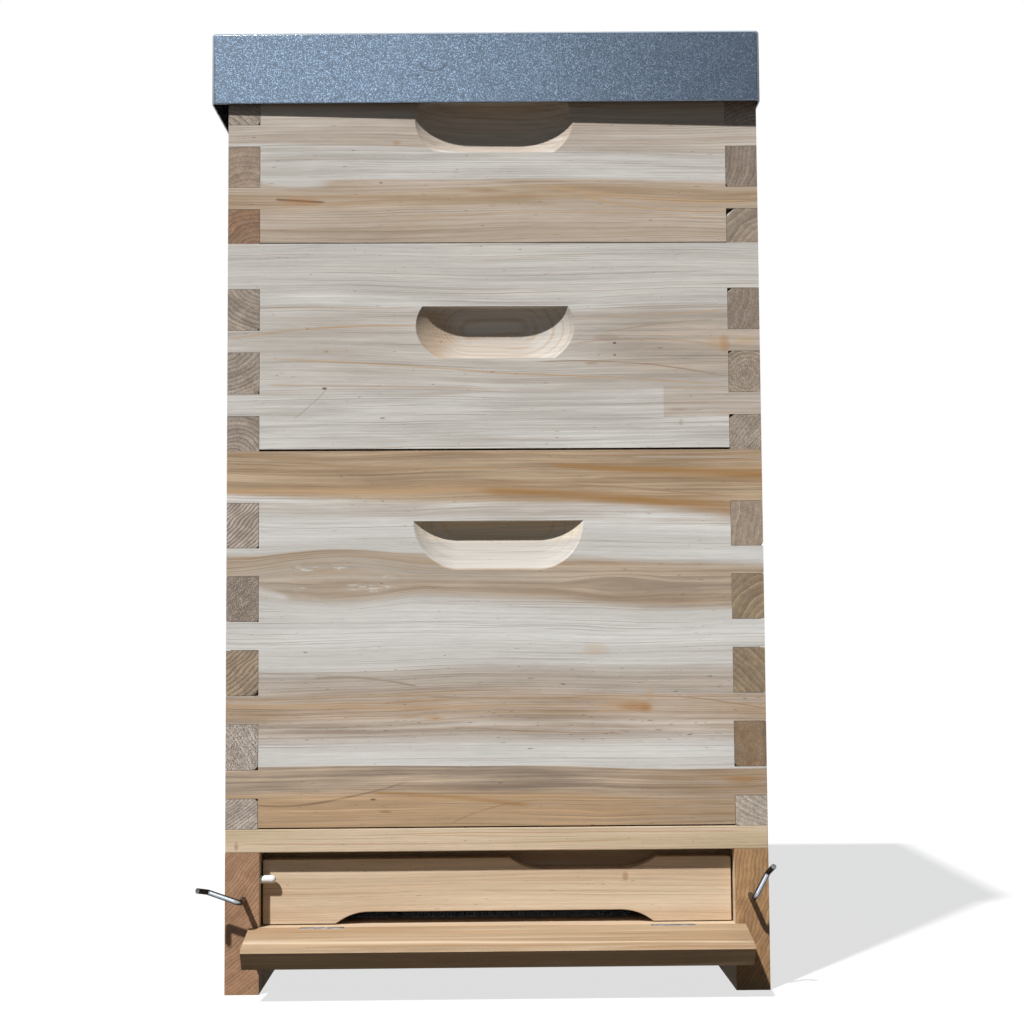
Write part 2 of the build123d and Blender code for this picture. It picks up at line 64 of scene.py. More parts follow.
class Tone(Enum):
    """Colours of the hive's materials, as display bytes."""

    PALE = (207, 205, 201)
    GREY_PALE = (196, 193, 188)
    BLEACHED = (219, 217, 214)
    ASH = (184, 178, 170)
    CREAM = (180, 170, 159)
    GREY_TAN = (162, 152, 140)
    TAN = (177, 163, 149)
    WARM_TAN = (174, 155, 134)
    BROWN = (160, 134, 104)
    DEEP_BROWN = (144, 115, 84)
    LIGHT_GOLD = (188, 155, 117)
    ORANGE = (180, 148, 111)
    GOLD = (152, 114, 67)
    PINK = (168, 151, 135)
    SAND = (166, 145, 120)
    SMOKE = (150, 133, 116)
    GRAIN_LINE = (150, 124, 98)
    VEIN = (178, 145, 109)
    FIBRE = (138, 124, 109)
    RESIN = (84, 58, 38)
    RUST = (160, 112, 64)
    END_PALE = (184, 171, 159)
    END_GRAIN = (162, 148, 134)
    END_TAN = (133, 113, 86)
    END_WARM = (160, 138, 119)
    END_RED = (146, 109, 80)
    END_BROWN = (130, 104, 76)
    END_SHEEN = (166, 149, 126)
    END_GREY = (138, 123, 109)
    END_DULL = (118, 102, 86)
    END_LINE = (88, 71, 56)
    END_FLECK = (204, 195, 182)
    PORE = (82, 66, 52)
    PINE = (191, 167, 139)
    PINE_LIGHT = (203, 183, 157)
    PINE_PALE = (187, 168, 138)
    PINE_WORN = (164, 143, 116)
    PINE_WORN_DULL = (152, 126, 97)
    PINE_LINE = (166, 126, 88)
    PINE_FIBRE = (150, 117, 86)
    PINE_END = (162, 127, 98)
    PINE_END_GOLD = (164, 129, 89)
    PINE_END_DULL = (140, 104, 75)
    PINE_END_LINE = (116, 80, 54)
    # Pale cream used only as painted light in the shaded top of the brood hand-hold.
    PAINTED_LIGHT_CREAM = (226, 210, 188)
    LIME = (222, 200, 162)
    LIME_DULL = (205, 178, 138)
    PLY = (203, 174, 133)
    PLY_DARK = (151, 112, 74)
    WAX = (226, 174, 84)
    WAX_DARK = (196, 136, 52)
    ROOF_BLUE = (29, 55, 82)
    ROOF_DARK = (12, 24, 38)
    ROOF_FLECK = (112, 124, 136)
    # Lighter colour painted on the roof's bends: worn paint and a painted highlight.
    ROOF_WORN_AND_HIGHLIGHT = (170, 182, 196)
    ZINC = (176, 180, 184)
    ZINC_DULL = (132, 137, 142)
    STEEL = (172, 174, 179)
    # Dark colour painted on the wire's sides as a painted reflection.
    STEEL_PAINTED_DARK_FLANK = (40, 42, 46)
    WHITE_PLASTIC = (226, 227, 224)
    SHEET_WHITE = (214, 214, 208)
    STUDIO = (238, 238, 236)

    @property
    def as_light(self) -> Colour:
        """The tone as a linear colour for a shader."""
        parts = [byte / 255 for byte in self.value]
        return (*[p / 12.92 if p < 0.04045 else ((p + 0.055) / 1.055) ** 2.4 for p in parts], 1.0)


class Sock:
    """An output of a node, which takes part in Python expressions on numbers."""

    def __init__(self, shader: "Shader", socket: bpy.types.NodeSocket) -> None:
        """Keeps the socket and the shader that it belongs to."""
        self.shader = shader
        self.socket = socket

    def __add__(self, other: "Value") -> "Sock":
        """Sum."""
        return self.shader.math("ADD", self, other)

    __radd__ = __add__

    def __sub__(self, other: "Value") -> "Sock":
        """Difference."""
        return self.shader.math("SUBTRACT", self, other)

    def __rsub__(self, other: "Value") -> "Sock":
        """Difference from a number."""
        return self.shader.math("SUBTRACT", other, self)

    def __mul__(self, other: "Value") -> "Sock":
        """Product."""
        return self.shader.math("MULTIPLY", self, other)

    def __truediv__(self, other: "Value") -> "Sock":
        """Quotient."""
        return self.shader.math("DIVIDE", self, other)

    def __gt__(self, other: "Value") -> "Sock":
        """1 where it is greater, 0 elsewhere."""
        return self.shader.math("GREATER_THAN", self, other)

    def __lt__(self, other: "Value") -> "Sock":
        """1 where it is smaller, 0 elsewhere."""
        return self.shader.math("LESS_THAN", self, other)

    def __abs__(self) -> "Sock":
        """Size without the sign."""
        return self.shader.math("ABSOLUTE", self)


Value = Union[Sock, Number]
Hue = Union[Sock, Colour, Tone]


class Shader:
    """The node tree of one material or world, written as expressions."""

    def __init__(self, name: str, world: bool = False) -> None:
        """Makes an empty material or world.

        Args:
            name: Its name.
            world: Whether it is a world.
        """
        self.owner = (bpy.data.worlds if world else bpy.data.materials).new(name)
        self.owner.use_nodes = True
        self.tree = self.owner.node_tree
        self.tree.nodes.clear()

    def node(
        self, kind: str, settings: dict | None = None, feeds: dict | None = None, out: int | str = 0
    ) -> Sock:
        """Adds a node of any type.

        Args:
            kind: The node's type.
            settings: Properties that are set first.
            feeds: Socket name or index to a value, a colour or another node's output.
            out: The output that is returned.

        Returns:
            The chosen output.
        """
        made = self.tree.nodes.new(kind)
        for key, setting in (settings or {}).items():
            setattr(made, key, setting)
        for key, value in (feeds or {}).items():
            if isinstance(value, Sock):
                self.tree.links.new(value.socket, made.inputs[key])
            else:
                made.inputs[key].default_value = value.as_light if isinstance(value, Tone) else value
        return Sock(self, made.outputs[out] if made.outputs else None)

    def math(self, operation: str, *values: Value) -> Sock:
        """A Math node on numbers."""
        return self.node("ShaderNodeMath", {"operation": operation}, dict(enumerate(values)))

    def step(self, value: Value, low: Value, high: Value) -> Sock:
        """Rises smoothly from 0 at low to 1 at high."""
        feeds = {"Value": value, "From Min": low, "From Max": high}
        return self.node("ShaderNodeMapRange", {"interpolation_type": "SMOOTHSTEP"}, feeds)

    def join(self, x: Value, y: Value, z: Value) -> Sock:
        """A vector from three numbers."""
        return self.node("ShaderNodeCombineXYZ", feeds={"X": x, "Y": y, "Z": z})

    def parts(self, vector: Sock) -> dict[str, Sock]:
        """Takes a vector apart.

        Args:
            vector: The vector.

        Returns:
            Its x, y and z.
        """
        first = self.node("ShaderNodeSeparateXYZ", feeds={"Vector": vector})
        outputs = first.socket.node.outputs
        return {axis: Sock(self, outputs[i]) for i, axis in enumerate("xyz")}

    def scaled(self, vector: Sock, by: Sizes) -> Sock:
        """A vector times another, part by part."""
        return self.node("ShaderNodeVectorMath", {"operation": "MULTIPLY"}, {0: vector, 1: by})

    def lit(self, colour: Sock, by: Value) -> Sock:
        """A colour times a number."""
        return self.node("ShaderNodeVectorMath", {"operation": "SCALE"}, {0: colour, "Scale": by})

    def blend(self, factor: Value, first: Hue, second: Hue) -> Sock:
        """A colour between two colours."""
        return self.node("ShaderNodeMix", {"data_type": "RGBA"}, {0: factor, 6: first, 7: second}, out=2)

    def noise(self, place: Sock, detail: float = 2.0, roughness: float = 0.5) -> Sock:
        """Soft noise, one cell for each unit of the place."""
        feeds = {"Vector": place, "Scale": 1.0, "Detail": detail, "Roughness": roughness}
        return self.node("ShaderNodeTexNoise", feeds=feeds, out="Fac")

    def cells(self, place: Sock, size: float | Sizes, detail: float = 2.0) -> Sock:
        """Soft noise in cells of one size, or of a size along each axis."""
        sizes = size if isinstance(size, tuple) else (size, size, size)
        return self.noise(self.scaled(place, tuple(1 / part for part in sizes)), detail)

    def dice(self, number: Value) -> Sock:
        """A random colour for each whole number."""
        return self.node("ShaderNodeTexWhiteNoise", {"noise_dimensions": "1D"}, {"W": number}, out="Color")

    def object_place(self) -> Sock:
        """Object coordinates in millimetres."""
        place = self.node("ShaderNodeTexCoord", out="Object")
        return self.scaled(place, (1 / MM, 1 / MM, 1 / MM))

    def object_normal(self) -> dict[str, Sock]:
        """The parts of the surface normal in object space."""
        return self.parts(self.node("ShaderNodeTexCoord", out="Normal"))

    def bump(self, height: Sock, depth_mm: float, strength: float) -> Sock:
        """A normal bent by a height between 0 and 1."""
        feeds = {"Strength": strength, "Distance": depth_mm * MM, "Height": height}
        return self.node("ShaderNodeBump", feeds=feeds)

    def surface(self, **feeds: Union[Value, Hue]) -> bpy.types.Material:
        """Ends the material in one shader.

        Args:
            feeds: Values of the shader's sockets, with underscores for spaces.

        Returns:
            The finished material.
        """
        named = {key.replace("_", " "): value for key, value in feeds.items()}
        shaded = self.node("ShaderNodeBsdfPrincipled", feeds=named)
        self.node("ShaderNodeOutputMaterial", feeds={"Surface": shaded})
        return self.owner


class Grain(Enum):
    """Which axes run along a board's grain, into its face and up its face."""

    ACROSS = "xyz"
    BACKWARD = "yxz"
    FLAT = "xzy"
    UPRIGHT = "zyx"


@dataclass(frozen=True)
class Timber:
    """The tones and the grain of one kind of wood, in millimetres."""

    light: Tone
    dull: Tone
    bleached: Tone
    line: Tone
    fibre: Tone
    end: Tone
    end_dull: Tone
    end_line: Tone
    ring: float
    sway: float = 7.0
    ripple: float = 1.6
    cloud: float = 0.25
    streak: float = 0.22
    speck: float = 0.3
    fine: float = 0.32
    line_strength: float = 0.7
    hair_strength: float = 0.28
    roughness: float = 0.66


@dataclass(frozen=True)
class Band:
    """A streak of darker wood along a board, between two heights in millimetres."""

    low: float
    high: float
    tone: Tone
    core: Tone
    strength: float = 1.0
    slope: float = 0.0
    wave: float = 3.0
    fray: float = 6.0
    soft_low: float = 3.0
    soft_high: float = 3.0
    start: float | None = None
    soft_start: float = 0.5
    lean: float = 0.0
    figure: float = 0.3
    pitted: bool = False


@dataclass(frozen=True)
class Vein:
    """A thin grain line: its two ends, its height at the start, middle and end, and its half thickness."""

    start: float
    end: float
    heights: tuple[float, float, float]
    thick: float
    tone: Tone
    strength: float = 0.7
    thick_end: float | None = None


@dataclass(frozen=True)
class Swirl:
    """An eye where the grain parts round a hidden knot: its middle, half length, half height and pull."""

    along: float
    height: float
    length: float
    thick: float
    pull: float = 0.85


@dataclass(frozen=True)
class Mark:
    """A stain, knot or resin streak: its middle, half length and half height in millimetres."""

    along: float
    height: float
    length: float
    thick: float
    tone: Tone
    strength: float = 0.8
    broken: bool = False


@dataclass(frozen=True)
class HeartOrPaintedLight:
    """Wood under the face that a scoop lays bare, or a tone painted inside a scoop as painted light or
    painted shade: its middle, half length, half height and rings.
    """

    along: float
    height: float
    length: float
    thick: float
    ring: float
    tone: Tone
    line: Tone
    strength: float = 1.0


@dataclass(frozen=True)
class Strip:
    """One glued strip of a board: its lower edge, its rings' pith and spacing, and its end grain."""

    low: float
    pith: tuple[float, float]
    ring: float = 3.4
    end: Tone = Tone.END_GRAIN
    line: Tone = Tone.END_LINE
    speckle: float = 0.4
    contrast: float = 0.4


@dataclass(frozen=True)
class Sawing:
    """How one board was cut from the log and glued up, in millimetres."""

    grain: Grain
    pith: tuple[float, float]
    seed: float
    strips: tuple[Strip, ...] = ()
    bands: tuple[Band, ...] = ()
    veins: tuple[Vein, ...] = ()
    swirls: tuple[Swirl, ...] = ()
    hearts_and_painted_light: tuple[HeartOrPaintedLight, ...] = ()
    marks: tuple[Mark, ...] = ()


PAULOWNIA = Timber(
    Tone.PALE, Tone.GREY_PALE, Tone.BLEACHED, Tone.GRAIN_LINE, Tone.FIBRE,
    Tone.END_GRAIN, Tone.END_DULL, Tone.END_LINE, ring=3.4,
)
PINE = Timber(
    Tone.PINE, Tone.PINE_LIGHT, Tone.PINE_LIGHT, Tone.PINE_LINE, Tone.PINE_FIBRE,
    Tone.PINE_END, Tone.PINE_END_DULL, Tone.PINE_END_LINE, ring=3.0, line_strength=0.45,
)
PALE_PINE = Timber(
    Tone.PINE_PALE, Tone.PINE_LIGHT, Tone.PINE_LIGHT, Tone.PINE_LINE, Tone.PINE_FIBRE,
    Tone.PINE_END, Tone.PINE_END_DULL, Tone.PINE_END_LINE, ring=2.4, sway=3.0, line_strength=0.45,
)
WORN_PINE = Timber(
    Tone.PINE_WORN, Tone.PINE_WORN_DULL, Tone.PINE_PALE, Tone.PINE_LINE, Tone.PINE_FIBRE,
    Tone.PINE_END, Tone.PINE_END_DULL, Tone.PINE_END_LINE, ring=3.2,
    line_strength=0.8, streak=1.6, hair_strength=0.6,
)
LIME = Timber(
    Tone.LIME, Tone.LIME_DULL, Tone.PINE_LIGHT, Tone.PINE_LINE, Tone.PINE_FIBRE,
    Tone.PINE_END, Tone.PINE_END_DULL, Tone.PINE_END_LINE, ring=3.0, sway=3.0, line_strength=0.3,
)


@dataclass(frozen=True)
class Cell:
    """Size of a noise's cells along, into and up a board in millimetres, its detail and its roughness."""

    along: float
    depth: float
    height: float
    detail: float = 2.0
    rough: float = 0.5


@dataclass(frozen=True)
class Streak:
    """A noise drawn out along the grain: its cells' length and width, its detail and its roughness."""

    length: float
    width: float
    detail: float
    rough: float = 0.55


SWAY = Cell(280, 110, 65, 1.0)
RIPPLE = Cell(95, 26, 15)
FACE_SPECKS = Cell(16, 3, 0.95, 2.0, 0.6)
PORE_DASHES = Cell(8, 1.5, 1.1, 1.0)
END_SPECKS = Cell(3, 0.8, 0.8, 1.0)
END_CLOUDS = Cell(40, 13, 13, 3.0)
END_MOTTLE = Cell(20, 5, 5, 2.0, 0.6)
SCOOP_WOBBLE = Cell(45, 20, 30, 1.0)
MARK_FLECKS = Cell(9, 2, 1.5)
BROAD = Streak(430, 15, 1.5)
CLOUD = Streak(120, 13, 4)
STREAK = Streak(280, 3.2, 4, 0.62)
FINE = Streak(170, 1.2, 2)
HAIR = Streak(260, 1.5, 1)
LIVELY = Streak(150, 24, 2)
SHOWN = Streak(130, 2.4, 2)


@dataclass(frozen=True)
class Spot:
    """A shaded point in a board, in millimetres along, into and up the grain."""

    along: Sock
    depth: Sock
    height: Sock
    level: Sock
    sway: Sock

    def noise(self, cell: Cell, bent: bool = False) -> Sock:
        """Noise in cells of one size.

        Args:
            cell: The cells.
            bent: Whether the cells bend with the grain.

        Returns:
            The noise.
        """
        shader = self.along.shader
        up = self.level if bent else self.height
        place = shader.join(self.along / cell.along, self.depth / cell.depth, up / cell.height)
        return shader.noise(place, cell.detail, cell.rough)

    def ellipse(self, along: float, height: float, length: float, thick: float) -> tuple[Sock, Sock]:
        """The distances from a middle in half lengths along the grain and in half heights up it."""
        return (self.along - along) / length, (self.height - height) / thick


@dataclass(frozen=True)
class Figure:
    """The noises and rings that a board's pattern is made of, each between 0 and 1."""

    broad: Sock
    cloud: Sock
    streak: Sock
    fine: Sock
    hair: Sock
    ring: Sock
    line: Sock
    year: Sock


class BoardPattern:
    """The wood of one board, as a node tree.

    Each pair is where a pattern begins to show and where it is full.
    """

    END_FACE = (0.55, 0.9)
    END_PORES = (0.54, 0.66)
    END_FLECKS = (0.34, 0.45)
    END_CLOUD = (0.42, 0.62)
    END_CLOUD_TINT = 0.4
    END_LINE_GAIN = 3.4
    END_LINE_TINT = 0.8
    END_FLECK_TINT = 0.7
    END_MOTTLE_GAIN = 0.7
    END_YEAR_GAIN = 0.24
    EYE_REACH = (-0.2, 1.2)
    STREAK_DEPTH = 5
    DEPTH_SEED = 2.3
    LEVEL_SEED = 4.1
    YEAR_SEED = 11.0
    BROAD_SHOWS = (0.38, 0.62)
    HAIR_SHOWS = (0.6, 0.68)
    LIVELY_SHOWS = (0.36, 0.66)
    LINE_SHOWS = (0.42, 0.58)
    LINE_STARTS = (0.78, 0.95)
    LINE_ENDS = (0.96, 1.0)
    FAINTEST_LINE = 0.15
    RING_DARKENS = (0.2, 0.9)
    RING_ENDS = (0.92, 1.0)
    RING_TINT = 0.08
    RING_SWELL = 8
    PORE_RARITY = 0.74
    PIT_RARITY = 0.69
    PORE_SOFTNESS = 0.07
    PORE_TINT = 0.6
    BAND_STREAK_SHARE = 0.6
    BAND_CORE = (0.39, 0.61)
    SCOOP_DEPTH = (0.3, 1.2)
    SCOOP_REACH = (0.35, 1.15)
    SCOOP_WAVER = 2.0
    SCOOP_RING_STARTS = (0.66, 0.86)
    SCOOP_RING_ENDS = (0.88, 1.0)
    SCOOP_GRAIN = 0.5
    VEIN_SWAY = 4
    VEIN_STARTS = (0.0, 0.08)
    VEIN_ENDS = (0.9, 1.0)
    VEIN_EDGE = (0.0, 1.0)
    VEIN_WORN = (0.3, 0.62)
    VEIN_WEAR = 0.6
    MARK_EDGE = (0.1, 1.1)
    MARK_SHRINK = 0.4
    MARK_WAVER = 2
    MARK_BROKEN = (0.54, 0.66)
    HAIR_RELIEF = 0.6
    LINE_RELIEF = 0.4
    PORE_RELIEF = 0.25
    RELIEF_MM = 0.18
    RELIEF_STRENGTH = 0.6
    STREAK_ROUGHNESS = 0.2
    GLOSS = 0.3

    def __init__(self, shader: Shader, timber: Timber, sawing: Sawing) -> None:
        """Finds the place in the board and the figure of its grain.

        Args:
            shader: The material that is built.
            timber: The kind of wood.
            sawing: How the board was cut.
        """
        whole = Strip(0.0, sawing.pith, timber.ring, timber.end, timber.end_line)
        self.shader = shader
        self.timber = timber
        self.sawing = sawing
        self.strips = sawing.strips or (whole,)
        self.spot = self._find_spot()
        self.figure = self._draw_figure()

    def material(self) -> bpy.types.Material:
        """Ends the pattern in a material.

        Returns:
            Wood with rings, heartwood bands, fibres, marks and end grain.
        """
        shader, figure = self.shader, self.figure
        end = shader.step(abs(shader.object_normal()[self.sawing.grain.value[0]]), *self.END_FACE)
        face = self._face()
        cut, pores = self._cut()
        relief = (figure.hair * self.HAIR_RELIEF + figure.line * self.LINE_RELIEF) * (1 - end)
        return shader.surface(
            Base_Color=shader.blend(end, face, cut),
            Roughness=self.timber.roughness + figure.streak * self.STREAK_ROUGHNESS,
            Specular_IOR_Level=self.GLOSS,
            Normal=shader.bump(relief - pores * end * self.PORE_RELIEF, self.RELIEF_MM, self.RELIEF_STRENGTH),
        )

    def _find_spot(self) -> Spot:
        """Finds the place in the board.

        Returns:
            The place, with a level that bends as the grain does.
        """
        shader, timber, seed = self.shader, self.timber, self.sawing.seed
        axes = shader.parts(shader.object_place())
        along, depth, height = (axes[axis] for axis in self.sawing.grain.value)
        cell = shader.join(along / SWAY.along + seed, depth / SWAY.depth + seed, height / SWAY.height + seed)
        sway = shader.noise(cell, SWAY.detail)
        cell = shader.join(along / RIPPLE.along + seed, depth / RIPPLE.depth, height / RIPPLE.height)
        ripple = shader.noise(cell, RIPPLE.detail)
        level = height + (sway - 0.5) * (2 * timber.sway) + (ripple - 0.5) * (2 * timber.ripple)
        for swirl in self.sawing.swirls:
            out_along = (along - swirl.along) / swirl.length
            off = height - swirl.height
            out_up = off / swirl.thick
            near = 1 - shader.step(out_along * out_along + out_up * out_up, *self.EYE_REACH)
            level = level - near * off * swirl.pull
        return Spot(along, depth, height, level, sway)

    def _streaks(self, streak: Streak) -> Sock:
        """Draws a noise out along the grain.

        Args:
            streak: Its cells.

        Returns:
            The noise.
        """
        shader, spot, seed = self.shader, self.spot, self.sawing.seed
        cell = shader.join(
            spot.along / streak.length + seed,
            spot.depth / (self.STREAK_DEPTH * streak.width) + self.DEPTH_SEED * seed,
            spot.level / streak.width + self.LEVEL_SEED * seed,
        )
        return shader.noise(cell, streak.detail, streak.rough)

    def _by_strip(self, values: list[float]) -> Value:
        """Picks the number that belongs to the strip at a place.

        Args:
            values: One number for each strip, from the bottom up.

        Returns:
            The number.
        """
        chosen: Value = values[0]
        for strip, before, value in zip(self.strips[1:], values, values[1:]):
            chosen = (self.spot.height > strip.low) * (value - before) + chosen
        return chosen

    def _draw_figure(self) -> Figure:
        """Draws the clouds, the streaks, the hairlines and the growth rings round each strip's pith.

        Returns:
            The board's figure.
        """
        shader, spot = self.shader, self.spot
        into = spot.depth - self._by_strip([strip.pith[0] for strip in self.strips])
        up = spot.level - self._by_strip([strip.pith[1] for strip in self.strips])
        broad = self._streaks(BROAD)
        radius = shader.math("SQRT", into * into + up * up) + broad * self.RING_SWELL
        count = radius / self._by_strip([strip.ring for strip in self.strips])
        whole = shader.math("FLOOR", count)
        share = count - whole
        chance = shader.parts(shader.dice(whole + self.YEAR_SEED))
        weight = chance["x"] * chance["x"] + self.FAINTEST_LINE
        return Figure(
            broad=shader.step(broad, *self.BROAD_SHOWS),
            cloud=self._streaks(CLOUD),
            streak=self._streaks(STREAK),
            fine=self._streaks(FINE),
            hair=shader.step(self._streaks(HAIR), *self.HAIR_SHOWS),
            ring=shader.step(share, *self.RING_DARKENS) * (1 - shader.step(share, *self.RING_ENDS)),
            line=shader.step(share, *self.LINE_STARTS) * (1 - shader.step(share, *self.LINE_ENDS)) * weight,
            year=chance["y"],
        )

    def _face(self) -> Sock:
        """Colours a face cut along the grain.

        Returns:
            The colour.
        """
        shader, timber, spot, figure = self.shader, self.timber, self.spot, self.figure
        colour = shader.blend(figure.broad, timber.light, timber.dull)
        for band in self.sawing.bands:
            colour = self._banded(band, colour)
        lively = shader.step(self._streaks(LIVELY), *self.LIVELY_SHOWS)
        specks = spot.noise(FACE_SPECKS, bent=True)
        tone = (figure.cloud - 0.5) * timber.cloud + (figure.streak - 0.5) * lively * timber.streak
        tone = tone + (specks - 0.5) * timber.speck + (figure.fine - 0.5) * timber.fine
        colour = shader.lit(colour, tone + 1)
        shown = shader.step(self._streaks(SHOWN), *self.LINE_SHOWS)
        colour = shader.blend(figure.ring * self.RING_TINT, colour, timber.line)
        colour = shader.blend(figure.line * shown * timber.line_strength, colour, timber.line)
        colour = shader.blend(figure.hair * timber.hair_strength, colour, timber.fibre)
        for heart_or_light in self.sawing.hearts_and_painted_light:
            colour = self._heart_or_painted_light(heart_or_light, colour)
        for vein in self.sawing.veins:
            colour = self._veined(vein, colour)
        for mark in self.sawing.marks:
            colour = self._marked(mark, colour)
        return shader.blend(self._dashes(self.PORE_RARITY) * self.PORE_TINT, colour, Tone.PORE)

    def _dashes(self, rare: float) -> Sock:
        """Short dark pores along the grain, the rarer the higher the number."""
        return self.shader.step(self.spot.noise(PORE_DASHES, bent=True), rare, rare + self.PORE_SOFTNESS)

    def _cut(self) -> tuple[Sock, Sock]:
        """Colours a face cut across the grain.

        Returns:
            The colour and the pores.
        """
        shader, timber, spot, figure = self.shader, self.timber, self.spot, self.figure
        base: Hue = self.strips[0].end
        line: Hue = self.strips[0].line
        for strip in self.strips[1:]:
            above = spot.height > strip.low
            base = shader.blend(above, base, strip.end)
            line = shader.blend(above, line, strip.line)
        speckle = self._by_strip([strip.speckle for strip in self.strips])
        contrast = self._by_strip([strip.contrast for strip in self.strips])
        specks = spot.noise(END_SPECKS)
        pores = shader.step(specks, *self.END_PORES)
        flecks = 1 - shader.step(specks, *self.END_FLECKS)
        dull = shader.step(spot.noise(END_CLOUDS), *self.END_CLOUD) * self.END_CLOUD_TINT
        drawn = shader.math("MINIMUM", figure.line * contrast * self.END_LINE_GAIN, self.END_LINE_TINT)
        colour = shader.blend(dull, base, timber.end_dull)
        colour = shader.blend(figure.ring * contrast, colour, line)
        colour = shader.blend(drawn, colour, line)
        colour = shader.blend(pores * speckle, colour, timber.end_line)
        colour = shader.blend(flecks * speckle * self.END_FLECK_TINT, colour, timber.bleached)
        mottle = (spot.noise(END_MOTTLE) - 0.5) * self.END_MOTTLE_GAIN
        return shader.lit(colour, mottle + (figure.year - 0.5) * self.END_YEAR_GAIN + 1), pores

    def _banded(self, band: Band, colour: Sock) -> Sock:
        """Lays one band over a colour.

        Args:
            band: The band.
            colour: The colour under it.

        Returns:
            The colour with the band.
        """
        shader, spot, figure = self.shader, self.spot, self.figure
        level = spot.level - spot.along * band.slope + (spot.sway - 0.5) * (2 * band.wave)
        if band.lean:
            level = level + (spot.depth - FRONT_FACE) * band.lean
        frayed = level + (figure.streak - 0.5) * band.fray
        over = shader.step(frayed, band.low - band.soft_low / 2, band.low + band.soft_low / 2)
        under = 1 - shader.step(frayed, band.high - band.soft_high / 2, band.high + band.soft_high / 2)
        mask = over * under * band.strength
        if band.start is not None:
            mask = mask * shader.step(spot.along, band.start - band.soft_start, band.start + band.soft_start)
        mixed = figure.streak * self.BAND_STREAK_SHARE + figure.cloud * (1 - self.BAND_STREAK_SHARE)
        tone = shader.blend(shader.step(mixed, *self.BAND_CORE), band.tone, band.core)
        lively = (figure.cloud + figure.streak + figure.fine - 3 * 0.5) * band.figure
        colour = shader.blend(mask, colour, shader.lit(tone, lively + 1))
        if band.pitted:
            pits = self._dashes(self.PIT_RARITY) * mask * self.PORE_TINT
            colour = shader.blend(pits, colour, Tone.PORE)
        return colour

    def _heart_or_painted_light(self, heart_or_light: HeartOrPaintedLight, colour: Sock) -> Sock:
        """Shows heartwood where a scoop reaches below the face, or paints light or shade into the scoop.

        Args:
            heart_or_light: The heartwood, or the painted light or shade.
            colour: The colour round it.

        Returns:
            The colour with the heartwood and its rings.
        """
        shader, spot, figure = self.shader, self.spot, self.figure
        deep = spot.depth - FRONT_FACE
        out_along, out_up = spot.ellipse(heart_or_light.along, heart_or_light.height, heart_or_light.length, heart_or_light.thick)
        reach = out_along * out_along + out_up * out_up + (figure.cloud - 0.5)
        below = shader.step(deep, *self.SCOOP_DEPTH)
        mask = below * (1 - shader.step(reach, *self.SCOOP_REACH)) * heart_or_light.strength
        share = shader.math("FRACT", (deep + spot.noise(SCOOP_WOBBLE) * self.SCOOP_WAVER) / heart_or_light.ring)
        rings = shader.step(share, *self.SCOOP_RING_STARTS) * (1 - shader.step(share, *self.SCOOP_RING_ENDS))
        ringed = shader.blend(rings, heart_or_light.tone, heart_or_light.line)
        grained = shader.lit(ringed, (figure.streak + figure.fine - 2 * 0.5) * self.SCOOP_GRAIN + 1)
        return shader.blend(mask, colour, grained)

    def _veined(self, vein: Vein, colour: Sock) -> Sock:
        """Draws one grain line over a colour.

        Args:
            vein: The line.
            colour: The colour under it.

        Returns:
            The colour with the line.
        """
        shader, spot = self.shader, self.spot
        first, middle, last = vein.heights
        run = (spot.along - vein.start) / (vein.end - vein.start)
        path = first + run * ((4 * middle - 3 * first - last) + run * (2 * first - 4 * middle + 2 * last))
        growth = (vein.thick_end or vein.thick) - vein.thick
        thick = vein.thick + run * growth if growth else vein.thick
        off = abs(spot.level - spot.sway * self.VEIN_SWAY + self.VEIN_SWAY / 2 - path) / thick
        ends = shader.step(run, *self.VEIN_STARTS) * (1 - shader.step(run, *self.VEIN_ENDS))
        core = 1 - shader.step(off, *self.VEIN_EDGE)
        worn = shader.step(self.figure.streak, *self.VEIN_WORN) * self.VEIN_WEAR + (1 - self.VEIN_WEAR)
        return shader.blend(core * ends * worn * vein.strength, colour, vein.tone)

    def _marked(self, mark: Mark, colour: Sock) -> Sock:
        """Lays one stain or knot over a colour.

        Args:
            mark: The mark.
            colour: The colour under it.

        Returns:
            The colour with the mark.
        """
        shader, spot, figure = self.shader, self.spot, self.figure
        out_along, out_up = spot.ellipse(mark.along, mark.height, mark.length, mark.thick)
        out_up = out_up + (spot.sway - 0.5)
        waver = (figure.cloud - 0.5) * self.MARK_WAVER
        reach = out_along * out_along + out_up * out_up + (figure.streak - self.MARK_SHRINK) + waver
        mask = (1 - shader.step(reach, *self.MARK_EDGE)) * mark.strength
        if mark.broken:
            mask = mask * shader.step(spot.noise(MARK_FLECKS), *self.MARK_BROKEN)
        return shader.blend(mask, colour, mark.tone)


@dataclass(frozen=True)
class WoodFinish:
    """Bare planed wood whose growth rings run through the whole solid."""

    timber: Timber
    sawing: Sawing

    def material(self, name: str) -> bpy.types.Material:
        """Builds the material."""
        return BoardPattern(Shader(name), self.timber, self.sawing).material()


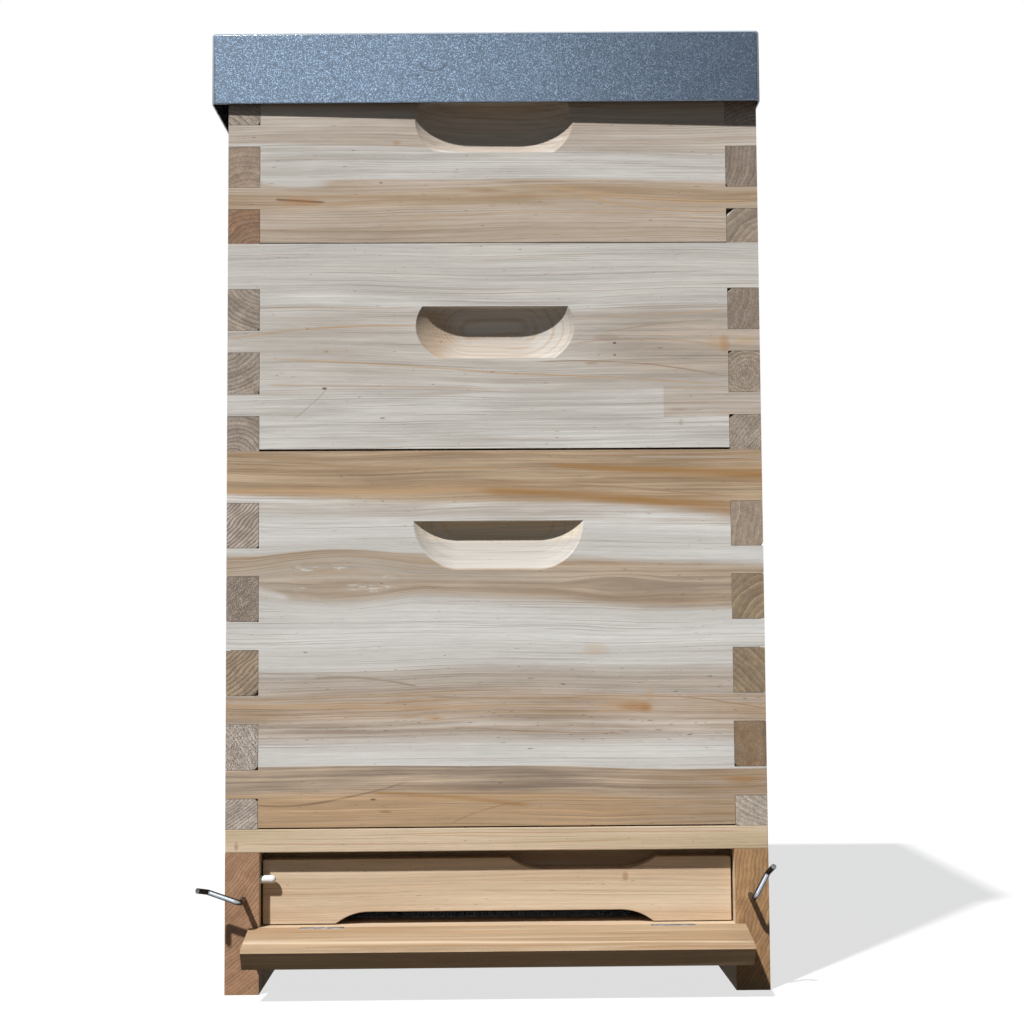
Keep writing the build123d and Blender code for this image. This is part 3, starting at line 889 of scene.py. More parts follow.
@dataclass(frozen=True)
class RoofPaint:
    """Grained blue-grey paint on folded sheet steel, with one rubbed crescent at the front, in millimetres.

    Each pair is where a pattern begins to show and where it is full.
    """

    grain: float = 0.65
    relief: float = 0.2
    relief_strength: float = 0.5
    patch: float = 70.0
    patch_shows: Edge = (0.35, 0.7)
    patch_strength: float = 0.15
    fleck_shows: Edge = (0.6, 1.0)
    pit_ends: Edge = (0.0, 0.4)
    metal_shows: Edge = (0.5, 1.0)
    metal: float = 0.5
    roughness: float = 0.2
    patch_roughness: float = 0.06
    pit_roughness: float = 0.2
    worn_roughness: float = 0.3
    worn_strength: float = 0.5
    gloss: float = 0.6
    flat: Edge = (0.86, 0.985)
    bend_wear_and_highlight: float = 0.7
    rub_place: tuple[float, float] = (-49.0, 765.0)
    rub_radius: float = 13.0
    rub_fades: Edge = (0.3, 1.6)
    rub_top: Edge = (-8.0, -3.0)
    scratch: Sizes = (38.0, 38.0, 1.4)
    scratch_shows: Edge = (0.66, 0.72)
    scratched: Sizes = (46.0, 46.0, 24.0)
    scratched_shows: Edge = (0.58, 0.66)

    def material(self, name: str) -> bpy.types.Material:
        """Builds the material.

        Args:
            name: The material's name.

        Returns:
            The material.
        """
        shader = Shader(name)
        place = shader.object_place()
        feeds = {"Vector": place, "Scale": 1 / self.grain}
        grit = shader.parts(shader.node("ShaderNodeTexVoronoi", feeds=feeds, out="Color"))["x"]
        patch = shader.cells(place, self.patch, 3.0)
        worn = self._scratches(shader, place) + self._rub(shader, place)
        dull = shader.step(patch, *self.patch_shows) * self.patch_strength
        colour = shader.blend(dull, Tone.ROOF_BLUE, Tone.ROOF_DARK)
        colour = shader.blend(shader.step(grit, *self.fleck_shows), colour, Tone.ROOF_FLECK)
        colour = shader.blend(1 - shader.step(grit, *self.pit_ends), colour, Tone.ROOF_DARK)
        colour = shader.blend(worn * self.worn_strength, colour, Tone.ROOF_DARK)
        rough = self.roughness + (patch - 0.5) * self.patch_roughness + (0.5 - grit) * self.pit_roughness
        relief = shader.cells(place, self.grain, 1.0)
        return shader.surface(
            # The rounded bends are painted lighter: partly worn paint, partly a painted highlight along the
            # folds.
            Base_Color=shader.blend(self._bends(shader), colour, Tone.ROOF_WORN_AND_HIGHLIGHT),
            Metallic=shader.step(grit, *self.metal_shows) * self.metal,
            Roughness=rough + worn * self.worn_roughness,
            Specular_IOR_Level=self.gloss,
            Normal=shader.bump(relief, self.relief, self.relief_strength),
        )

    def _bends(self, shader: Shader) -> Sock:
        """Finds the rounded bends, which are painted lighter, partly as worn paint and partly as a painted
        highlight along the folds.

        Args:
            shader: The material that is built.

        Returns:
            How far the bends are painted lighter, as wear and as painted highlight.
        """
        normal = [abs(part) for part in shader.object_normal().values()]
        flat = shader.math("MAXIMUM", normal[0], shader.math("MAXIMUM", normal[1], normal[2]))
        return (1 - shader.step(flat, *self.flat)) * self.bend_wear_and_highlight

    def _rub(self, shader: Shader, place: Sock) -> Sock:
        """Draws the lower half of a faint ring on the front, where something was pressed against the sheet.

        Args:
            shader: The material that is built.
            place: The place in millimetres.

        Returns:
            1 on the ring, 0 elsewhere.
        """
        axes = shader.parts(place)
        across = axes["x"] - self.rub_place[0]
        up = axes["z"] - self.rub_place[1]
        radius = shader.math("SQRT", across * across + up * up)
        ring = 1 - shader.step(abs(radius - self.rub_radius), *self.rub_fades)
        return ring * (1 - shader.step(up, *self.rub_top)) * (axes["y"] < 0.0)

    def _scratches(self, shader: Shader, place: Sock) -> Sock:
        """Faint rubbed lines, as stretched noise cut off high."""
        lines = shader.step(shader.cells(place, self.scratch), *self.scratch_shows)
        return lines * shader.step(shader.cells(place, self.scratched, 1.0), *self.scratched_shows)


@dataclass(frozen=True)
class PolishedWire:
    """Hand-bent polished steel wire with a painted reflection: its colour is bright down its middle and dark
    at its sides, by the angle to the view.
    """

    cloud: float = 4.0
    facing: float = 0.5
    cloud_share: float = 0.3
    painted_flank: Edge = (0.02, 0.38)
    roughness: float = 0.2
    cloud_roughness: float = 0.12

    def material(self, name: str) -> bpy.types.Material:
        """Builds the material.

        Args:
            name: The material's name.

        Returns:
            The material.
        """
        shader = Shader(name)
        cloud = shader.cells(shader.object_place(), self.cloud, 3.0)
        # Painted reflection: the colour goes dark where the wire's surface turns away from the view.
        painted_flank = shader.node("ShaderNodeLayerWeight", feeds={"Blend": self.facing}, out="Facing")
        shade = shader.step(painted_flank + (cloud - 0.5) * self.cloud_share, *self.painted_flank)
        return shader.surface(
            Base_Color=shader.blend(shade, Tone.STEEL, Tone.STEEL_PAINTED_DARK_FLANK),
            Roughness=self.roughness + cloud * self.cloud_roughness,
            Metallic=1.0,
        )


@dataclass(frozen=True)
class MetalFinish:
    """Plated or bright steel with a drawn surface."""

    tone: Tone
    dull: Tone
    roughness: float
    cloud: float = 5.0
    dull_shows: Edge = (0.35, 0.7)
    cloud_roughness: float = 0.2
    drawn: Sizes = (6.0, 0.5, 0.5)
    relief: float = 0.03
    relief_strength: float = 0.4

    def material(self, name: str) -> bpy.types.Material:
        """Builds the material.

        Args:
            name: The material's name.

        Returns:
            The material.
        """
        shader = Shader(name)
        place = shader.object_place()
        cloud = shader.cells(place, self.cloud, 3.0)
        drawn = shader.cells(place, self.drawn)
        return shader.surface(
            Base_Color=shader.blend(shader.step(cloud, *self.dull_shows), self.tone, self.dull),
            Roughness=self.roughness + (cloud - 0.5) * self.cloud_roughness,
            Metallic=1.0,
            Normal=shader.bump(drawn, self.relief, self.relief_strength),
        )


@dataclass(frozen=True)
class PlasticFinish:
    """Moulded or rolled plastic with faint clouding."""

    tone: Tone
    roughness: float
    grain: float
    cloud: float = 25.0
    cloud_shows: Edge = (0.45, 0.8)
    cloud_strength: float = 0.25
    skin_roughness: float = 0.1
    relief: float = 0.05
    relief_strength: float = 0.3

    def material(self, name: str) -> bpy.types.Material:
        """Builds the material.

        Args:
            name: The material's name.

        Returns:
            The material.
        """
        shader = Shader(name)
        place = shader.object_place()
        dull = shader.step(shader.cells(place, self.cloud, 3.0), *self.cloud_shows) * self.cloud_strength
        skin = shader.cells(place, self.grain)
        return shader.surface(
            Base_Color=shader.blend(dull, self.tone, Tone.ZINC),
            Roughness=self.roughness + skin * self.skin_roughness,
            Normal=shader.bump(skin, self.relief, self.relief_strength),
        )


@dataclass(frozen=True)
class WaxFinish:
    """Beeswax sheet pressed with hexagon cells, with painted shade in the cells."""

    cell: float = 5.4
    wall: Edge = (-1.1, 0.6)
    cell_painted_shade: float = 0.35
    cloud: float = 40.0
    cloud_shows: Edge = (0.35, 0.7)
    roughness: float = 0.42
    gloss: float = 0.4
    relief: float = 0.7
    relief_strength: float = 0.8

    def material(self, name: str) -> bpy.types.Material:
        """Builds the material.

        Args:
            name: The material's name.

        Returns:
            The material.
        """
        shader = Shader(name)
        place = shader.object_place()
        axes = shader.parts(place)
        walls = self._walls(shader, axes["y"], axes["z"])
        cloud = shader.step(shader.cells(place, self.cloud, 3.0), *self.cloud_shows)
        colour = shader.blend(cloud, Tone.WAX, Tone.WAX_DARK)
        return shader.surface(
            # The cells are darkened against their walls: painted shade in the pressed hollows.
            Base_Color=shader.blend((1 - walls) * self.cell_painted_shade, colour, Tone.WAX_DARK),
            Roughness=self.roughness,
            Specular_IOR_Level=self.gloss,
            Normal=shader.bump(walls, self.relief, self.relief_strength),
        )

    def _walls(self, shader: Shader, along: Sock, up: Sock) -> Sock:
        """Draws the walls between hexagons.

        Args:
            shader: The material that is built.
            along: The place along the sheet.
            up: The place up the sheet.

        Returns:
            1 on a wall, 0 in a cell.
        """
        waves = []
        for turn in (0, 60, 120):
            angle = math.radians(turn)
            run = along * math.cos(angle) + up * math.sin(angle)
            waves.append(shader.math("COSINE", run * (4 * math.pi / (math.sqrt(3) * self.cell))))
        return 1 - shader.step(waves[0] + waves[1] + waves[2], *self.wall)


@dataclass(frozen=True)
class PlyFinish:
    """Thin plywood: a flat-sawn face and dark plies at the edge, in millimetres."""

    top: float
    ply: float = 1.0
    ply_shows: Edge = (0.4, 0.6)
    ply_strength: float = 0.7
    edge: Edge = (0.4, 0.7)
    drift: tuple[float, float] = (30.0, 300.0)
    drift_share: float = 5.0
    figure: float = 23.0
    figure_shows: Edge = (0.6, 1.0)
    figure_strength: float = 0.4
    fibre: Sizes = (0.9, 60.0, 1.0)
    fibre_shows: Edge = (0.5, 0.8)
    fibre_strength: float = 0.3
    roughness: float = 0.6
    fibre_roughness: float = 0.15
    relief: float = 0.08
    relief_strength: float = 0.5

    def material(self, name: str) -> bpy.types.Material:
        """Builds the material.

        Args:
            name: The material's name.

        Returns:
            The material.
        """
        shader = Shader(name)
        place = shader.object_place()
        axes = shader.parts(place)
        drift = shader.noise(shader.join(axes["x"] / self.drift[0], axes["y"] / self.drift[1], 0.0), 3.0)
        figure = shader.math("FRACT", axes["x"] / self.figure + drift * self.drift_share)
        fibre = shader.cells(place, self.fibre)
        sawn = shader.step(figure, *self.figure_shows) * self.figure_strength
        colour = shader.blend(sawn, Tone.LIME_DULL, Tone.PLY)
        streaks = shader.step(fibre, *self.fibre_shows) * self.fibre_strength
        colour = shader.blend(streaks, colour, Tone.PLY_DARK)
        plies = shader.math("PINGPONG", (axes["z"] - self.top) / self.ply, self.ply)
        side = 1 - shader.step(abs(shader.object_normal()["z"]), *self.edge)
        dark = side * shader.step(plies, *self.ply_shows) * self.ply_strength
        return shader.surface(
            Base_Color=shader.blend(dark, colour, Tone.PLY_DARK),
            Roughness=self.roughness + fibre * self.fibre_roughness,
            Normal=shader.bump(fibre, self.relief, self.relief_strength),
        )


class Bench:
    """Tools that shape one mesh at a time with Blender's own operators."""

    SHARP = math.radians(30)
    BEVEL_STEPS = 2
    BEND = math.radians(8)
    SAME_PLANE = math.radians(1)

    @staticmethod
    def clear() -> None:
        """Deselects every object."""
        bpy.ops.object.select_all(action="DESELECT")

    @staticmethod
    def hold(piece: bpy.types.Object) -> None:
        """Makes one object the only selected and active one.

        Args:
            piece: The object.
        """
        Bench.clear()
        piece.select_set(True)
        bpy.context.view_layer.objects.active = piece

    @staticmethod
    def edit(piece: bpy.types.Object, work: Callable[[bpy.types.Object], None]) -> None:
        """Runs a function in edit mode with everything selected.

        Args:
            piece: The object to shape.
            work: Takes the object and shapes its mesh.
        """
        Bench.hold(piece)
        bpy.ops.object.mode_set(mode="EDIT")
        bpy.ops.mesh.select_all(action="SELECT")
        work(piece)
        bpy.ops.object.mode_set(mode="OBJECT")

    @staticmethod
    def pick_faces(piece: bpy.types.Object, test: Callable[[Vector, Vector], bool]) -> None:
        """Selects the faces, in edit mode, whose middle and normal pass a test.

        Args:
            piece: The object in edit mode.
            test: Takes a face's middle and normal.
        """
        bpy.ops.mesh.select_mode(type="FACE")
        bpy.ops.mesh.select_all(action="DESELECT")
        mesh = bmesh.from_edit_mesh(piece.data)
        for face in mesh.faces:
            face.select_set(test(face.calc_center_median(), face.normal))
        bmesh.update_edit_mesh(piece.data)

    @staticmethod
    def pick_points(piece: bpy.types.Object, spot: Vector, reach: float) -> None:
        """Selects the points, in edit mode, near a spot.

        Args:
            piece: The object in edit mode.
            spot: The spot.
            reach: The farthest that a point may be.
        """
        bpy.ops.mesh.select_mode(type="VERT")
        bpy.ops.mesh.select_all(action="DESELECT")
        mesh = bmesh.from_edit_mesh(piece.data)
        for point in mesh.verts:
            point.select_set((point.co - spot).length < reach)
        bmesh.update_edit_mesh(piece.data)

    @staticmethod
    def slice(at: Vector, normal: Vector, keep_below: bool = False, fill: bool = False) -> None:
        """Cuts the selected mesh along a plane, in edit mode.

        Args:
            at: A point on the plane.
            normal: The plane's normal.
            keep_below: Drops what lies on the normal's side.
            fill: Closes the cut.
        """
        bpy.ops.mesh.select_all(action="SELECT")
        bpy.ops.mesh.bisect(plane_co=at, plane_no=normal, clear_outer=keep_below, use_fill=fill)

    @staticmethod
    def settle(piece: bpy.types.Object) -> None:
        """Applies an object's place, turn and scale to its mesh."""
        Bench.hold(piece)
        bpy.ops.object.transform_apply(location=True, rotation=True, scale=True)

    @staticmethod
    def cut(piece: bpy.types.Object, cutter: bpy.types.Object) -> None:
        """Takes a cutter's shape out of a piece and throws the cutter away.

        Args:
            piece: The piece.
            cutter: The cutter.
        """
        Bench.hold(piece)
        boolean = piece.modifiers.new("cut", "BOOLEAN")
        boolean.operation = "DIFFERENCE"
        boolean.solver = "EXACT"
        boolean.object = cutter
        bpy.ops.object.modifier_apply(modifier=boolean.name)
        bpy.data.objects.remove(cutter)

    @staticmethod
    def copy(piece: bpy.types.Object, name: str) -> bpy.types.Object:
        """Copies a piece and its mesh.

        Args:
            piece: The piece.
            name: The copy's name.

        Returns:
            The copy.
        """
        twin = piece.copy()
        twin.data = piece.data.copy()
        twin.name = name
        bpy.context.scene.collection.objects.link(twin)
        return twin

    @staticmethod
    def turn(piece: bpy.types.Object, degrees: float, about: Vector) -> None:
        """Turns a piece's mesh about an upright axis.

        Args:
            piece: The piece.
            degrees: How far it turns.
            about: A point on the axis.
        """
        spin = Matrix.Rotation(math.radians(degrees), 4, "Z")
        piece.matrix_world = Matrix.Translation(about) @ spin @ Matrix.Translation(-about)
        Bench.settle(piece)

    @staticmethod
    def bevel(piece: bpy.types.Object, width: float) -> bpy.types.Modifier:
        """Adds a modifier that rounds a piece's sharp edges.

        Args:
            piece: The piece.
            width: Width of the rounding in metres.

        Returns:
            The modifier.
        """
        bevel = piece.modifiers.new("eased edges", "BEVEL")
        bevel.width = width
        bevel.segments = Bench.BEVEL_STEPS
        bevel.limit_method = "ANGLE"
        bevel.angle_limit = Bench.SHARP
        return bevel

    @staticmethod
    def ease(piece: bpy.types.Object, width: float) -> None:
        """Rounds a finished piece's sharp edges and shades its curved faces smooth.

        Args:
            piece: The piece.
            width: Width of the rounding in metres.
        """
        Bench.hold(piece)
        bpy.ops.object.modifier_apply(modifier=Bench.bevel(piece, width).name)
        bpy.ops.object.shade_smooth_by_angle(angle=Bench.BEND)

    @staticmethod
    def block(name: str, low: Vector, high: Vector) -> bpy.types.Object:
        """Draws a cube primitive out between two corners.

        Args:
            name: The block's name.
            low: Its lowest corner.
            high: Its highest corner.

        Returns:
            The block.
        """
        Bench.clear()
        bpy.ops.mesh.primitive_cube_add(size=1, location=(low + high) / 2, scale=high - low)
        made = bpy.context.object
        made.name = name
        Bench.settle(made)
        return made


def dress(piece: bpy.types.Object, material: bpy.types.Material) -> None:
    """Puts one material all over a piece."""
    piece.data.materials.clear()
    piece.data.materials.append(material)


def place_piece(piece: bpy.types.Object, body: str, nodes: tuple[str, ...]) -> None:
    """Makes a new piece stand for CAD nodes on a body.

    Args:
        piece: The finished piece.
        body: The body that it moves with.
        nodes: The nodes that it stands for.
    """
    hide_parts(*nodes)
    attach(piece, body)
    log.info("piece %s on %s", piece.name, body)


@dataclass(frozen=True)
class Fingers:
    """Finger joint of a box, measured down from its top edge, in metres."""

    first: float
    finger: float
    gap: float

    def spans(self, top: float, height: float) -> list[tuple[float, float]]:
        """Low and high edges of the side boards' fingers.

        Args:
            top: Height of the box's top edge.
            height: The box's own height.

        Returns:
            One pair for each finger, from the top down.
        """
        found = []
        start = self.first
        while start < height:
            end = min(start + self.finger, height)
            found.append((top - end, top - start))
            start += self.finger + self.gap
        return found


@dataclass(frozen=True)
class Hold:
    """A scooped hand-hold, in metres."""

    below_top: float
    half_width: float
    half_height: float
    depth: float
    widest: float
    height: float
    straight: float
    shift: float
    segments: int = 160
    rings: int = 110

    def cutter(self, face: float, ceiling: float) -> bpy.types.Object:
        """A ball with a straight middle, cut level above and below, that scoops the hold out of a face.

        Args:
            face: The face's place along Y.
            ceiling: Height of the hold's level top.

        Returns:
            The cutter.
        """
        round_radius = (self.half_height**2 + self.depth**2) / (2 * self.depth)
        end_radius = (self.half_width - self.straight) * round_radius / self.half_height
        middle = Vector((self.shift - self.straight, face + self.depth - round_radius, ceiling - self.widest))
        Bench.clear()
        bpy.ops.mesh.primitive_uv_sphere_add(
            segments=self.segments, ring_count=self.rings, radius=1, location=middle,
            rotation=(0, math.pi / 2, 0), scale=(round_radius, round_radius, end_radius),
        )
        ball = bpy.context.object
        Bench.settle(ball)

        def trim(piece: bpy.types.Object) -> None:
            """Pulls the ball's right half out and keeps only the part that reaches into the board.

            Args:
                piece: The ball.
            """
            Bench.pick_faces(piece, lambda spot, _: spot.x > middle.x)
            bpy.ops.transform.translate(value=(2 * self.straight, 0, 0))
            Bench.slice(Vector((0, 0, ceiling)), Vector((0, 0, 1)), True, True)
            Bench.slice(Vector((0, 0, ceiling - self.height)), Vector((0, 0, -1)), True, True)
            Bench.slice(Vector((0, face - MM, 0)), Vector((0, -1, 0)), True, True)
            bpy.ops.mesh.select_all(action="SELECT")
            bpy.ops.mesh.normals_make_consistent(inside=False)

        Bench.edit(ball, trim)
        return ball


class Side(Enum):
    """The hive's left and right as seen from the front, with their direction along X."""

    LEFT = -1
    RIGHT = 1


@dataclass(frozen=True)
class Chip:
    """A broken corner of a side board's finger at the front, the lower inner one unless it says otherwise."""

    side: Side
    finger: int
    size: float
    upper: bool = False
    inner: bool = True
    deep: float = 9 * MM


@dataclass(frozen=True)
class HiveBox:
    """One box of the stack: four finger-jointed boards with hand-holds."""

    name: str
    body: str
    fingers: Fingers
    hold: Hold
    front: Sawing
    back: Sawing
    left: Sawing
    right: Sawing
    chips: tuple[Chip, ...] = ()
    gap_below: float = 0.0
    wall: float = 26 * MM
    rebate_depth: float = 13 * MM
    rebate_drop: float = 19 * MM
    easing: float = 0.4 * MM
    joint_gap: float = 0.3 * MM
    facing_down: float = -0.9

    def node(self, side: str) -> str:
        """The CAD node of one side's board."""
        return f"{self.name}_{side}_board"

    def build(self) -> None:
        """Models, chips, eases and dresses the four boards."""
        low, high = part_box(self.node("front"))
        _, back_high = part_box(self.node("back"))
        middle = Vector((0, (low.y + back_high.y) / 2, 0))
        front = self._end_board(low, high)
        side_low, side_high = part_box(self.node("left"))
        left = self._side_board(side_low, side_high)
        boards = {
            "front": front,
            "back": Bench.copy(front, f"{self.name}_back"),
            "left": left,
            "right": Bench.copy(left, f"{self.name}_right"),
        }
        Bench.turn(boards["back"], 180, middle)
        Bench.turn(boards["right"], 180, middle)
        self._drop_gap(boards["front"], low.z)
        for chip in self.chips:
            self._break_corner(boards[chip.side.name.lower()], chip, low, high)
        sawings = {"front": self.front, "back": self.back, "left": self.left, "right": self.right}
        for side, board in boards.items():
            Bench.ease(board, self.easing)
            dress(board, WoodFinish(PAULOWNIA, sawings[side]).material(f"{board.name}_wood"))
            place_piece(board, self.body, (self.node(side),))

    def _sheet(
        self, name: str, low: Vector, high: Vector, across: int, notches: list[tuple[float, float]]
    ) -> bpy.types.Object:
        """A plane with end notches, drawn out to a board's thickness.

        Args:
            name: The board's name.
            low: Lowest corner of the board.
            high: Highest corner of the board.
            across: Axis along the board's length, 0 for X or 1 for Y.
            notches: Low and high edges of the notches in both ends.

        Returns:
            The board.
        """
        thick = 1 - across
        middle = (low + high) / 2
        middle[thick] = low[thick]
        Bench.clear()
        turn = (math.pi / 2, 0, 0) if across == 0 else (math.pi / 2, 0, math.pi / 2)
        size = (high[across] - low[across], high.z - low.z, 1)
        bpy.ops.mesh.primitive_plane_add(size=1, location=middle, rotation=turn)
        board = bpy.context.object
        board.name = name
        board.scale = size
        Bench.settle(board)
        reach = self.wall + (self.joint_gap if across == 0 else 0)
        ends = (low[across] + reach, high[across] - reach)

        def saw(piece: bpy.types.Object) -> None:
            """Cuts the notches and gives the sheet its thickness.

            Args:
                piece: The sheet.
            """
            along = Vector((1 - across, across, 0))
            for end in ends:
                Bench.slice(along * end, along)
            for edge in {edge for notch in notches for edge in notch}:
                Bench.slice(Vector((0, 0, edge)), Vector((0, 0, 1)))

            def in_notch(spot: Vector, _: Vector) -> bool:
                """True for a face that a notch takes away."""
                at_end = not ends[0] < spot[across] < ends[1]
                return at_end and any(lower < spot.z < upper for lower, upper in notches)

            Bench.pick_faces(piece, in_notch)
            bpy.ops.mesh.delete(type="FACE")
            bpy.ops.mesh.select_all(action="SELECT")
            bpy.ops.mesh.dissolve_limited(angle_limit=Bench.SAME_PLANE)
            bpy.ops.mesh.select_all(action="SELECT")
            draw = Vector((0, 0, 0))
            draw[thick] = high[thick] - low[thick]
            bpy.ops.mesh.extrude_region_move(TRANSFORM_OT_translate={"value": draw})
            bpy.ops.mesh.select_all(action="SELECT")
            bpy.ops.mesh.normals_make_consistent(inside=False)

        Bench.edit(board, saw)
        return board

    def _end_board(self, low: Vector, high: Vector) -> bpy.types.Object:
        """Makes the front board: notched, rebated for the frame rests and scooped.

        Args:
            low: Lowest corner of the board.
            high: Highest corner of the board.

        Returns:
            The board.
        """
        height = high.z - low.z
        board = self._sheet(f"{self.name}_front", low, high, 0, self.fingers.spans(high.z, height))
        rebate_low = Vector((low.x + self.wall, high.y - self.rebate_depth, high.z - self.rebate_drop))
        rebate_high = Vector((high.x - self.wall, high.y + MM, high.z + MM))
        Bench.cut(board, Bench.block("rebate", rebate_low, rebate_high))
        Bench.cut(board, self.hold.cutter(low.y, high.z - self.hold.below_top))
        return board

    def _side_board(self, low: Vector, high: Vector) -> bpy.types.Object:
        """Makes the left board: fingers at both ends and a scoop in its outer face.

        Args:
            low: Lowest corner of the board.
            high: Highest corner of the board.

        Returns:
            The board.
        """
        spans = self.fingers.spans(high.z, high.z - low.z)
        edges = [high.z, *(edge for span in spans for edge in (span[1], span[0])), low.z]
        pairs = zip(edges[0::2], edges[1::2])
        loose = self.joint_gap
        gaps = [(lower - loose, upper + loose) for upper, lower in pairs if upper - lower > TINY]
        board = self._sheet(f"{self.name}_left", low, high, 1, gaps)
        scoop = self.hold.cutter(low.x, high.z - self.hold.below_top)
        Bench.turn(scoop, -90, Vector((0, 0, 0)))
        scoop.matrix_world = Matrix.Translation((0, (low.y + high.y) / 2, 0))
        Bench.settle(scoop)
        Bench.cut(board, scoop)
        return board

    def _drop_gap(self, board: bpy.types.Object, bottom: float) -> None:
        """Planes a board's lower edge short, so that a dark seam shows under it.

        Args:
            board: The board.
            bottom: Height of its lower edge.
        """
        if not self.gap_below:
            return

        def plane(piece: bpy.types.Object) -> None:
            """Lifts the faces at the bottom edge."""
            Bench.pick_faces(piece, lambda spot, normal: normal.z < self.facing_down and spot.z < bottom + MM)
            bpy.ops.transform.translate(value=(0, 0, self.gap_below))

        Bench.edit(board, plane)

    def _break_corner(self, board: bpy.types.Object, chip: Chip, low: Vector, high: Vector) -> None:
        """Breaks one corner off a finger.

        Args:
            board: The side board.
            chip: The corner and its size.
            low: Lowest corner of the front board.
            high: Highest corner of the front board.
        """
        reach = high.x - (self.wall if chip.inner else 0)
        lower, upper = self.fingers.spans(high.z, high.z - low.z)[chip.finger]
        loose = self.joint_gap
        spot = Vector((chip.side.value * reach, low.y, upper - loose if chip.upper else lower + loose))

        def snap(piece: bpy.types.Object) -> None:
            """Bevels the corner and pushes the break back along the finger.

            Args:
                piece: The board.
            """
            Bench.pick_points(piece, spot, TINY)
            bpy.ops.mesh.bevel(offset=chip.size, affect="VERTICES", clamp_overlap=True)
            Bench.pick_points(piece, spot + Vector((0, chip.size, 0)), TINY)
            bpy.ops.transform.translate(value=(0, chip.deep, 0))

        Bench.edit(board, snap)


@dataclass(frozen=True)
class WireScreen:
    """The floor's wire screen: two layers of straight wires that cross."""

    pitch: float = 3.2 * MM
    radius: float = 0.45 * MM
    sides: int = 6
    bend: float = 70.0
    roughness: float = 0.38

    def build(self) -> None:
        """Lays the wires of both layers and joins them."""
        low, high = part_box("mesh_screen")
        across = self._layer(low, high, 0, high.z - self.radius)
        along = self._layer(low, high, 1, low.z + self.radius)
        Bench.clear()
        along.select_set(True)
        across.select_set(True)
        bpy.context.view_layer.objects.active = across
        bpy.ops.object.join()
        across.name = "wire_screen"
        Bench.hold(across)
        bpy.ops.object.shade_smooth_by_angle(angle=math.radians(self.bend))
        dress(across, MetalFinish(Tone.ZINC, Tone.ZINC_DULL, self.roughness).material("zinc_wire"))
        place_piece(across, "floor", ("mesh_screen",))

    def _layer(self, low: Vector, high: Vector, axis: int, level: float) -> bpy.types.Object:
        """One layer of wires.

        Args:
            low: Lowest corner of the screen.
            high: Highest corner of the screen.
            axis: Axis that the wires run along, 0 for X or 1 for Y.
            level: Height of the wires' middle.

        Returns:
            The layer.
        """
        other = 1 - axis
        length = high[axis] - low[axis]
        spots = int((high[other] - low[other] - 2 * self.radius) / self.pitch)
        middle = (low + high) / 2
        middle[other] = low[other] + self.radius
        middle.z = level
        turn = (0, math.pi / 2, 0) if axis == 0 else (math.pi / 2, 0, 0)
        Bench.clear()
        bpy.ops.mesh.primitive_cylinder_add(
            vertices=self.sides, radius=self.radius, depth=length, location=middle, rotation=turn
        )
        wire = bpy.context.object
        Bench.settle(wire)
        row = wire.modifiers.new("row", "ARRAY")
        row.count = spots + 1
        row.use_relative_offset = False
        row.use_constant_offset = True
        offset = [0.0, 0.0, 0.0]
        offset[other] = (high[other] - low[other] - 2 * self.radius) / spots
        row.constant_offset_displace = offset
        bpy.ops.object.modifier_apply(modifier=row.name)
        return wire


@dataclass(frozen=True)
class CarriedOver:
    """CAD nodes that keep their shape and get a finish and eased edges."""

    easing: float = 0.7 * MM

    def wood(self, node: str, timber: Timber, sawing: Sawing, easing: float | None = None) -> None:
        """Dresses a wooden node and rounds its edges.

        Args:
            node: The node.
            timber: Its kind of wood.
            sawing: How it was cut.
            easing: Width of the rounding, or None for the usual one.
        """
        dress(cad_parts[node], WoodFinish(timber, sawing).material(f"{node}_wood"))
        self.soften(node, self.easing if easing is None else easing)
        log.info("node %s in wood", node)

    @staticmethod
    def soften(node: str, width: float) -> None:
        """Rounds a node's sharp edges.

        Args:
            node: The node.
            width: Width of the rounding in metres.
        """
        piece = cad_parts[node]
        weld = piece.modifiers.new("weld", "WELD")
        weld.merge_threshold = TINY / 10
        Bench.bevel(piece, width)

    def plain(self, nodes: tuple[str, ...], material: bpy.types.Material) -> None:
        """Dresses nodes in one finish.

        Args:
            nodes: The nodes.
            material: The finish.
        """
        for node in nodes:
            dress(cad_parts[node], material)
            log.info("node %s in %s", node, material.name)


